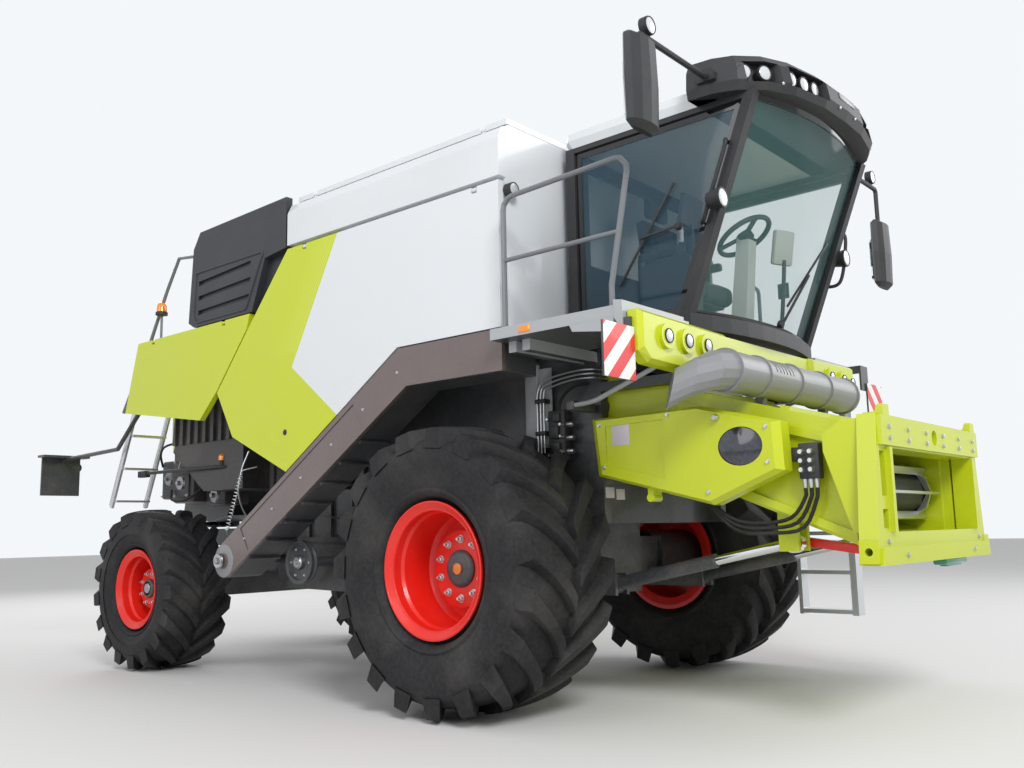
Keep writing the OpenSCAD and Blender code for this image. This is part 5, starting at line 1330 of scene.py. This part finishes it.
CHOPPER_TUBES = {
    # piece: finish, radius, points along each route, routes
    "chopper_rail": (bare["plastic"], 0.017, 40, [
        [(-2.99, 1.10, 1.775), (-2.60, 1.10, 1.772), (-1.90, 1.10, 1.768), (-1.52, 1.06, 1.765),
         (-1.29, 0.84, 1.76)],
        [(-2.30, 1.10, 1.77), (-2.28, 1.02, 1.80), (-2.30, 0.90, 1.86)]]),
    "chopper_pipes": (bare["belt"], 0.011, 40, [
        [(-2.90, 0.93, 1.84), (-2.86, 0.98, 1.96), (-2.70, 1.02, 2.03), (-2.35, 1.03, 2.04),
         (-2.10, 0.96, 1.98)],
        [(-2.62, 0.99, 1.60), (-2.50, 1.05, 1.50), (-2.24, 1.04, 1.50), (-2.05, 0.95, 1.66),
         (-1.95, 0.86, 1.92)],
        [(-2.20, 0.96, 1.90), (-2.14, 1.02, 1.70), (-2.00, 1.03, 1.60), (-1.72, 1.00, 1.62),
         (-1.40, 0.90, 1.70)]]),
    "bright_pipes": (bare["zinc"], 0.008, 40, [
        [(-2.48, 1.01, 1.78), (-2.30, 1.05, 1.90), (-2.00, 1.04, 1.94), (-1.62, 0.98, 1.93),
         (-1.30, 0.85, 1.90)],
        [(-1.02, 1.20, 1.86), (-1.06, 1.24, 1.70), (-1.10, 1.24, 1.50), (-1.16, 1.10, 1.30),
         (-1.20, 0.86, 1.22)]]),
    "spring_hooks": (bare["zinc"], 0.0055, 14, [
        [SPRING_HEAD, (-0.97, 1.29, 1.69), (-0.90, 1.20, 1.72)],
        [SPRING_FOOT, (-1.18, 1.28, 1.16), (-1.20, 1.10, 1.13), (-1.22, 0.83, 1.12)]]),
}
MARKER_FOOT = [(0.0, 0.05), (0.026, 0.05), (0.030, 0.02), (0.030, 0.0), (0.0, 0.0)]
MARKER_DOME = [(0.0, 0.062), (0.014, 0.060), (0.026, 0.050), (0.032, 0.034), (0.032, 0.0), (0.0, 0.0)]
UP = (0, 0, 1)


def helix(start, end, radius, turns, count):
    start, end = Vector(start), Vector(end)
    span = end - start
    frame_turn = upright_to(span).to_3x3()
    route = []
    for k in range(turns * count + 1):
        a = 2 * pi * k / count
        around = frame_turn @ Vector((radius * cos(a), radius * sin(a), 0))
        route.append(start + span * (k / (turns * count)) + around)
    return route


def chopper_drive(side, name):
    side_blocks(f"chopper_gear_cases_{name}", "chassis", paints["under"], side, GEAR_CASES)
    turned(f"chopper_shaft_ends_{name}", "chassis", bare["steel"], facing(SHAFT_ENDS, side), SHAFT_END, 32)
    bolts(f"chopper_screws_{name}", "chassis", bare["zinc"], facing(CASE_SCREWS, side), 0.022)
    for kind, (finish, radius, count, routes) in CHOPPER_TUBES.items():
        tubes(f"{kind}_{name}", "chassis", finish, [mirrored(r, side) for r in routes], radius, count)
    side_blocks(f"chopper_rail_end_{name}", "chassis", bare["plastic"], side,
                [((-3.03, 1.07, 1.735), (-2.88, 1.13, 1.80))], 0.010)
    coil = helix(*mirrored([SPRING_HEAD, SPRING_FOOT], side), 0.016, SPRING_TURNS, TURN_POINTS)
    tubes(f"pull_spring_{name}", "chassis", bare["zinc"], [coil], 0.0045, len(coil))
    turned(f"marker_lamp_foot_{name}", "chassis", bare["plastic"],
           [((-1.62, side * 1.075, 1.775), UP)], MARKER_FOOT, 28)
    turned(f"marker_lamp_{name}", "chassis", glass["amber"],
           [((-1.62, side * 1.075, 1.825), UP)], MARKER_DOME, 32)


for side, name in SIDES:
    chopper_drive(side, name)
print("tubes at the chopper, on each side:", sum(len(row[3]) for row in CHOPPER_TUBES.values()))

# %% [markdown]
# An amber beacon stands on the rear rail. In the picture its place is known as a direction only, so a line
# from the camera finds the rail that it stands on.

# %% Rail beacon
BEACON_FOOT = [(0.0, 0.030), (0.052, 0.030), (0.056, 0.022), (0.056, 0.0), (0.0, 0.0)]
BEACON_DOME = [(0.0, 0.095), (0.024, 0.092), (0.040, 0.080), (0.048, 0.060), (0.050, 0.0), (0.0, 0.0)]
beacon_way = Vector((-2.542, -1.2, 3.342)) - EYE
beacon_at = touch("railings", EYE, beacon_way)[0]
turned("rail_beacon_foot", "chassis", bare["plastic"], [(beacon_at - Vector((0, 0, 0.045)), UP)],
       BEACON_FOOT, 32)
turned("rail_beacon", "chassis", glass["amber"], [(beacon_at - Vector((0, 0, 0.016)), UP)], BEACON_DOME, 36)
print("rail beacon at:", [round(c, 3) for c in beacon_at])

# %% [markdown]
# The lower rear ladder has flat aluminium rails. A flat bar lies over each round rail of the solid.
# Its slope is that of the rail, so it is a long block turned about the cross axis.

# %% Ladder rails
LADDER_FOOT, LADDER_HEAD = Vector((-3.285, 0.0, 1.46)), Vector((-2.665, 0.0, 2.86))
slope = LADDER_HEAD - LADDER_FOOT
middle = LADDER_FOOT.lerp(LADDER_HEAD, 0.5)
half = Vector((slope.length / 2, 0.012, 0.034))
shape = bmesh.new()
for side_y in (-1.255, -0.895):
    along = slope.to_track_quat("X", "Z").to_matrix().to_4x4()
    add_block(shape, -half, half, 0.004, Matrix.Translation((middle.x, side_y, middle.z)) @ along)
piece("rear_ladder_rails", "chassis", bare["alloy"], shape, merge=False)
print("rail length, m:", round(slope.length, 3))

# %% [markdown]
# On the body's front corner, above the front tyre, a valve block feeds the feeder's rams. Rigid pipes come
# down beside it from under the cab, and a strut holds the lamp panel. Each valve is a small spool on a block.

# %% Valves and front pipes
VALVE_BLOCKS = [
    ((2.02, 0.83, 1.60), (2.16, 0.90, 1.94), 0.008),
    ((2.06, 0.89, 1.64), (2.13, 0.925, 1.72), 0.008),
    ((2.05, 0.89, 1.75), (2.12, 0.925, 1.83), 0.008),
    ((2.07, 0.89, 1.86), (2.13, 0.92, 1.92), 0.006),
]
FITTINGS = [(2.035, 0.90, z) for z in (1.64, 1.70, 1.88)] + [(2.145, 0.90, z) for z in (1.66, 1.76, 1.84)]
CORNER_POST = [((1.79, 0.83, 1.66), (1.90, 0.858, 2.28)), ((1.90, 0.83, 1.70), (2.01, 0.838, 2.25))]
PIPE_CLAMPS = [((1.905, 0.83, z), (1.995, 0.90, z + 0.03)) for z in (1.78, 2.00)]
VALVE_PIPES = [
    [(2.05, 0.89, 1.62), (2.045, 0.895, 1.56), (2.05, 0.885, 1.46), (2.08, 0.86, 1.38), (2.12, 0.81, 1.35)],
    [(2.10, 0.89, 1.62), (2.11, 0.895, 1.56), (2.13, 0.885, 1.49), (2.17, 0.86, 1.44), (2.22, 0.81, 1.43)],
    [(2.10, 0.88, 1.92), (2.12, 0.89, 1.99), (2.17, 0.89, 2.05), (2.24, 0.87, 2.09), (2.30, 0.81, 2.11)],
]
STRUT = [(2.33, 1.05, 1.935), (2.50, 1.05, 1.945), (2.62, 1.05, 1.98), (2.90, 1.05, 2.08), (3.15, 1.05, 2.17)]


def front_pipe(shift):
    """A pipe that goes up the corner, bends forward and ends under the cab."""
    return [(1.92 + shift, 0.885, 1.66), (1.92 + shift, 0.885, 1.90), (1.925 + shift, 0.885, 2.08),
            (2.00 + shift * 0.5, 0.887, 2.155 - shift), (2.20, 0.89, 2.185 - shift),
            (2.36, 0.87, 2.19 - shift), (2.40, 0.72, 2.19 - shift)]


def front_corner(side, name):
    side_blocks(f"valve_block_{name}", "chassis", bare["plastic"], side, VALVE_BLOCKS)
    fitting = cap_section(0.013, 0.034)
    turned(f"valve_fittings_{name}", "chassis", bare["zinc"], facing(FITTINGS, side), fitting, 16)
    spools = [((2.16, side * 0.865, z), (1, 0, 0)) for z in (1.66, 1.75, 1.84)]
    turned(f"valve_spools_{name}", "chassis", bare["steel"], spools, cap_section(0.020, 0.05), 20)
    side_blocks(f"corner_post_{name}", "chassis", paints["rail"], side, CORNER_POST)
    pipes = [mirrored(front_pipe(shift), side) for shift in (0.0, 0.028, 0.056)]
    tubes(f"front_pipes_{name}", "chassis", bare["zinc"], pipes, 0.0065, 40)
    side_blocks(f"front_pipe_clamp_{name}", "chassis", bare["plastic"], side, PIPE_CLAMPS, 0.006)
    pipes = [mirrored(pipe, side) for pipe in VALVE_PIPES]
    tubes(f"valve_pipes_{name}", "chassis", bare["belt"], pipes, 0.010, 32)
    tubes(f"panel_strut_{name}", "chassis", paints["silver"], [mirrored(STRUT, side)], 0.016, 36)
    side_blocks(f"strut_foot_{name}", "chassis", paints["grey"], side,
                [((2.31, 0.83, 1.905), (2.37, 1.07, 1.965))], 0.006)
    at = touch("platforms", (2.434, side * 2.0, 2.343), (0, -side, 0))[0]
    half = Vector((0.045, 0.004, 0.020))
    # The reflector wears the amber lens finish, so its faint glow is a painted highlight.
    blocks(f"platform_reflector_{name}", "chassis", glass["amber"], [(at - half, at + half)], 0.003)


for side, name in SIDES:
    front_corner(side, name)
print("valves, pipes and struts are in")

# %% [markdown]
# The body's front face shows between the corners. A folded flange runs across it, and two blank plates
# stand where the machine has its data plates.

# %% Front flange and blank plates
FLANGE_HALF = 0.785
front_x = touch("body_core", (6.0, -0.78, 1.375), (-1, 0, 0))[0].x
blocks("front_blank_plates", "chassis", plate,
       [((front_x - 0.002, -FLANGE_HALF, 1.345), (front_x + 0.003, -0.69, 1.415)),
        ((front_x - 0.002, -0.665, 1.335), (front_x + 0.003, -0.57, 1.405))], 0.001)
blocks("front_flange", "chassis", paints["under"],
       [((front_x - 0.004, -FLANGE_HALF, 1.475), (front_x + 0.030, FLANGE_HALF, 1.485)),
        ((front_x - 0.004, -FLANGE_HALF, 1.440), (front_x + 0.006, FLANGE_HALF, 1.480))], 0.002)
print("front face at x, m:", round(front_x, 3))

# %% [markdown]
# A few small things finish the large sheets: a quarter-turn latch on each side panel, screws and a blank
# plate on the visor, and on the right engine cover a raised border and a strip that closes the gap beside
# it. The border's corners are read in side view, and points close to each corner keep it crisp.

# %% Latches, visor plate and cover border
LATCH = [(0.0, 0.010), (0.006, 0.010), (0.008, 0.004), (0.020, 0.004), (0.024, 0.0), (0.0, 0.0)]
LATCH_X, LATCH_Z = -0.10, 1.93
BORDER_CORNERS = [(-1.43, 3.445), (-0.43, 3.440), (-0.66, 2.995), (-1.40, 2.995), (-1.455, 3.06)]
BORDER_SHARES = (0.03, 0.2, 0.5, 0.8, 0.97)

for side, name in SIDES:
    at = touch(f"side_panel_{name}", (LATCH_X, side * 2.2, LATCH_Z), (0, -side, 0))[0]
    latch = [(at, (0, side, 0))]
    turned(f"latches_side_panel_{name}", f"panel_{name}", bare["plastic"], latch, LATCH, 24)
    starts = [(6.0, side * y, 3.790) for y in (0.12, 0.42, 0.70)]
    turned(f"visor_screws_{name}", "chassis", bare["zinc"], touches("cab_visor", starts, (-1, 0, 0)),
           cap_section(0.010, 0.006), 16)


def visor_plate():
    at, way = touch("cab_visor", (6.0, 0.02, 3.885), (-1, 0, 0))
    along = Vector((0, 1, 0))
    place = Matrix.Translation(at) @ Matrix((along.cross(way), along, way)).transposed().to_4x4()
    shape = bmesh.new()
    add_block(shape, (-0.022, -0.12, -0.003), (0.022, 0.12, 0.003), 0.003, place)
    piece("visor_blank_plate", "chassis", bare["smooth"], shape, merge=False)


def cover_border():
    y = touch("engine_covers", (-1.0, -2.0, 3.55), LEFTWARD)[0].y + 0.001
    border = []
    for (x0, z0), (x1, z1) in zip(BORDER_CORNERS, BORDER_CORNERS[1:] + BORDER_CORNERS[:1]):
        for share in BORDER_SHARES:
            border.append((x0 + (x1 - x0) * share, y, z0 + (z1 - z0) * share))
    tubes("cover_border_right", "chassis", bare["cover"], [border + border[:1]], 0.011, 120)


visor_plate()
blocks("cover_infill_right", "chassis", bare["cover"],
       [((-0.62, -1.441, 2.96), (-0.15, -1.433, 3.40))], 0.001)
cover_border()
print("latches, plates and border are on")

# %% [markdown]
# The studio is plain: a pale floor, a white surround and soft lamps, so that a colour shows about as it is
# written. The surround lights the machine evenly, a broad lamp from the front gives form to it, a weaker
# one fills the right side, and two more lift the far side and the rear. What the camera sees behind is
# white by colour, not by more light.

# %% Studio
FLOOR_SPAN = 60.0


def studio_floor():
    mesh = bpy.data.meshes.new("studio_floor")
    shape = bmesh.new()
    bmesh.ops.create_grid(shape, x_segments=1, y_segments=1, size=FLOOR_SPAN)
    shape.to_mesh(mesh)
    shape.free()
    floor = bpy.data.objects.new("studio_floor", mesh)
    bpy.context.scene.collection.objects.link(floor)
    finish = Finish("pale_floor", Base_Color=(0.78, 0.78, 0.78), Roughness=0.85, Specular_IOR_Level=0.1)
    mesh.materials.append(finish.material)


def studio_world():
    world = bpy.data.worlds.new("studio_world")
    bpy.context.scene.world = world
    world.use_nodes = True
    tree = world.node_tree
    even, seen = tree.nodes["Background"], tree.nodes.new("ShaderNodeBackground")
    even.inputs["Color"].default_value = (1.0, 1.0, 1.0, 1.0)
    even.inputs["Strength"].default_value = 0.55
    seen.inputs["Color"].default_value = (0.90, 0.93, 0.96, 1.0)
    ray = tree.nodes.new("ShaderNodeLightPath")
    looks = [ray.outputs[kind] for kind in ("Is Camera Ray", "Is Glossy Ray", "Is Transmission Ray")]
    any_look = looks[0]
    for look in looks[1:]:
        either = tree.nodes.new("ShaderNodeMath")
        either.operation = "MAXIMUM"
        tree.links.new(any_look, either.inputs[0])
        tree.links.new(look, either.inputs[1])
        any_look = either.outputs[0]
    mix = tree.nodes.new("ShaderNodeMixShader")
    tree.links.new(any_look, mix.inputs[0])
    tree.links.new(even.outputs[0], mix.inputs[1])
    tree.links.new(seen.outputs[0], mix.inputs[2])
    tree.links.new(mix.outputs[0], tree.nodes["World Output"].inputs["Surface"])


def soft_lamp(name, at, aim, span, watts):
    data = bpy.data.lights.new(name, "AREA")
    data.shape = "DISK"
    data.size = span
    data.energy = watts
    lamp = bpy.data.objects.new(name, data)
    lamp.location = at
    lamp.rotation_euler = (Vector(aim) - Vector(at)).to_track_quat("-Z", "Y").to_euler()
    bpy.context.scene.collection.objects.link(lamp)


studio_floor()
studio_world()
soft_lamp("key_lamp", (12.0, -8.0, 10.0), (0.0, 0.0, 1.6), 5.0, 1250.0)
soft_lamp("side_lamp", (0.0, -14.0, 7.0), (0.0, 0.0, 1.4), 8.0, 300.0)
soft_lamp("fill_lamp", (9.0, 11.0, 8.0), (0.0, 0.0, 1.6), 8.0, 500.0)
soft_lamp("rim_lamp", (-12.0, 4.0, 9.0), (0.0, 0.0, 1.6), 8.0, 500.0)
bpy.context.scene.view_settings.view_transform = "Standard"

# %% [markdown]
# The last step lists the solids that have no finish.

# %% Solids without a finish
print("solids without a finish:", [name for name, node in nodes.items() if not node.data.materials])
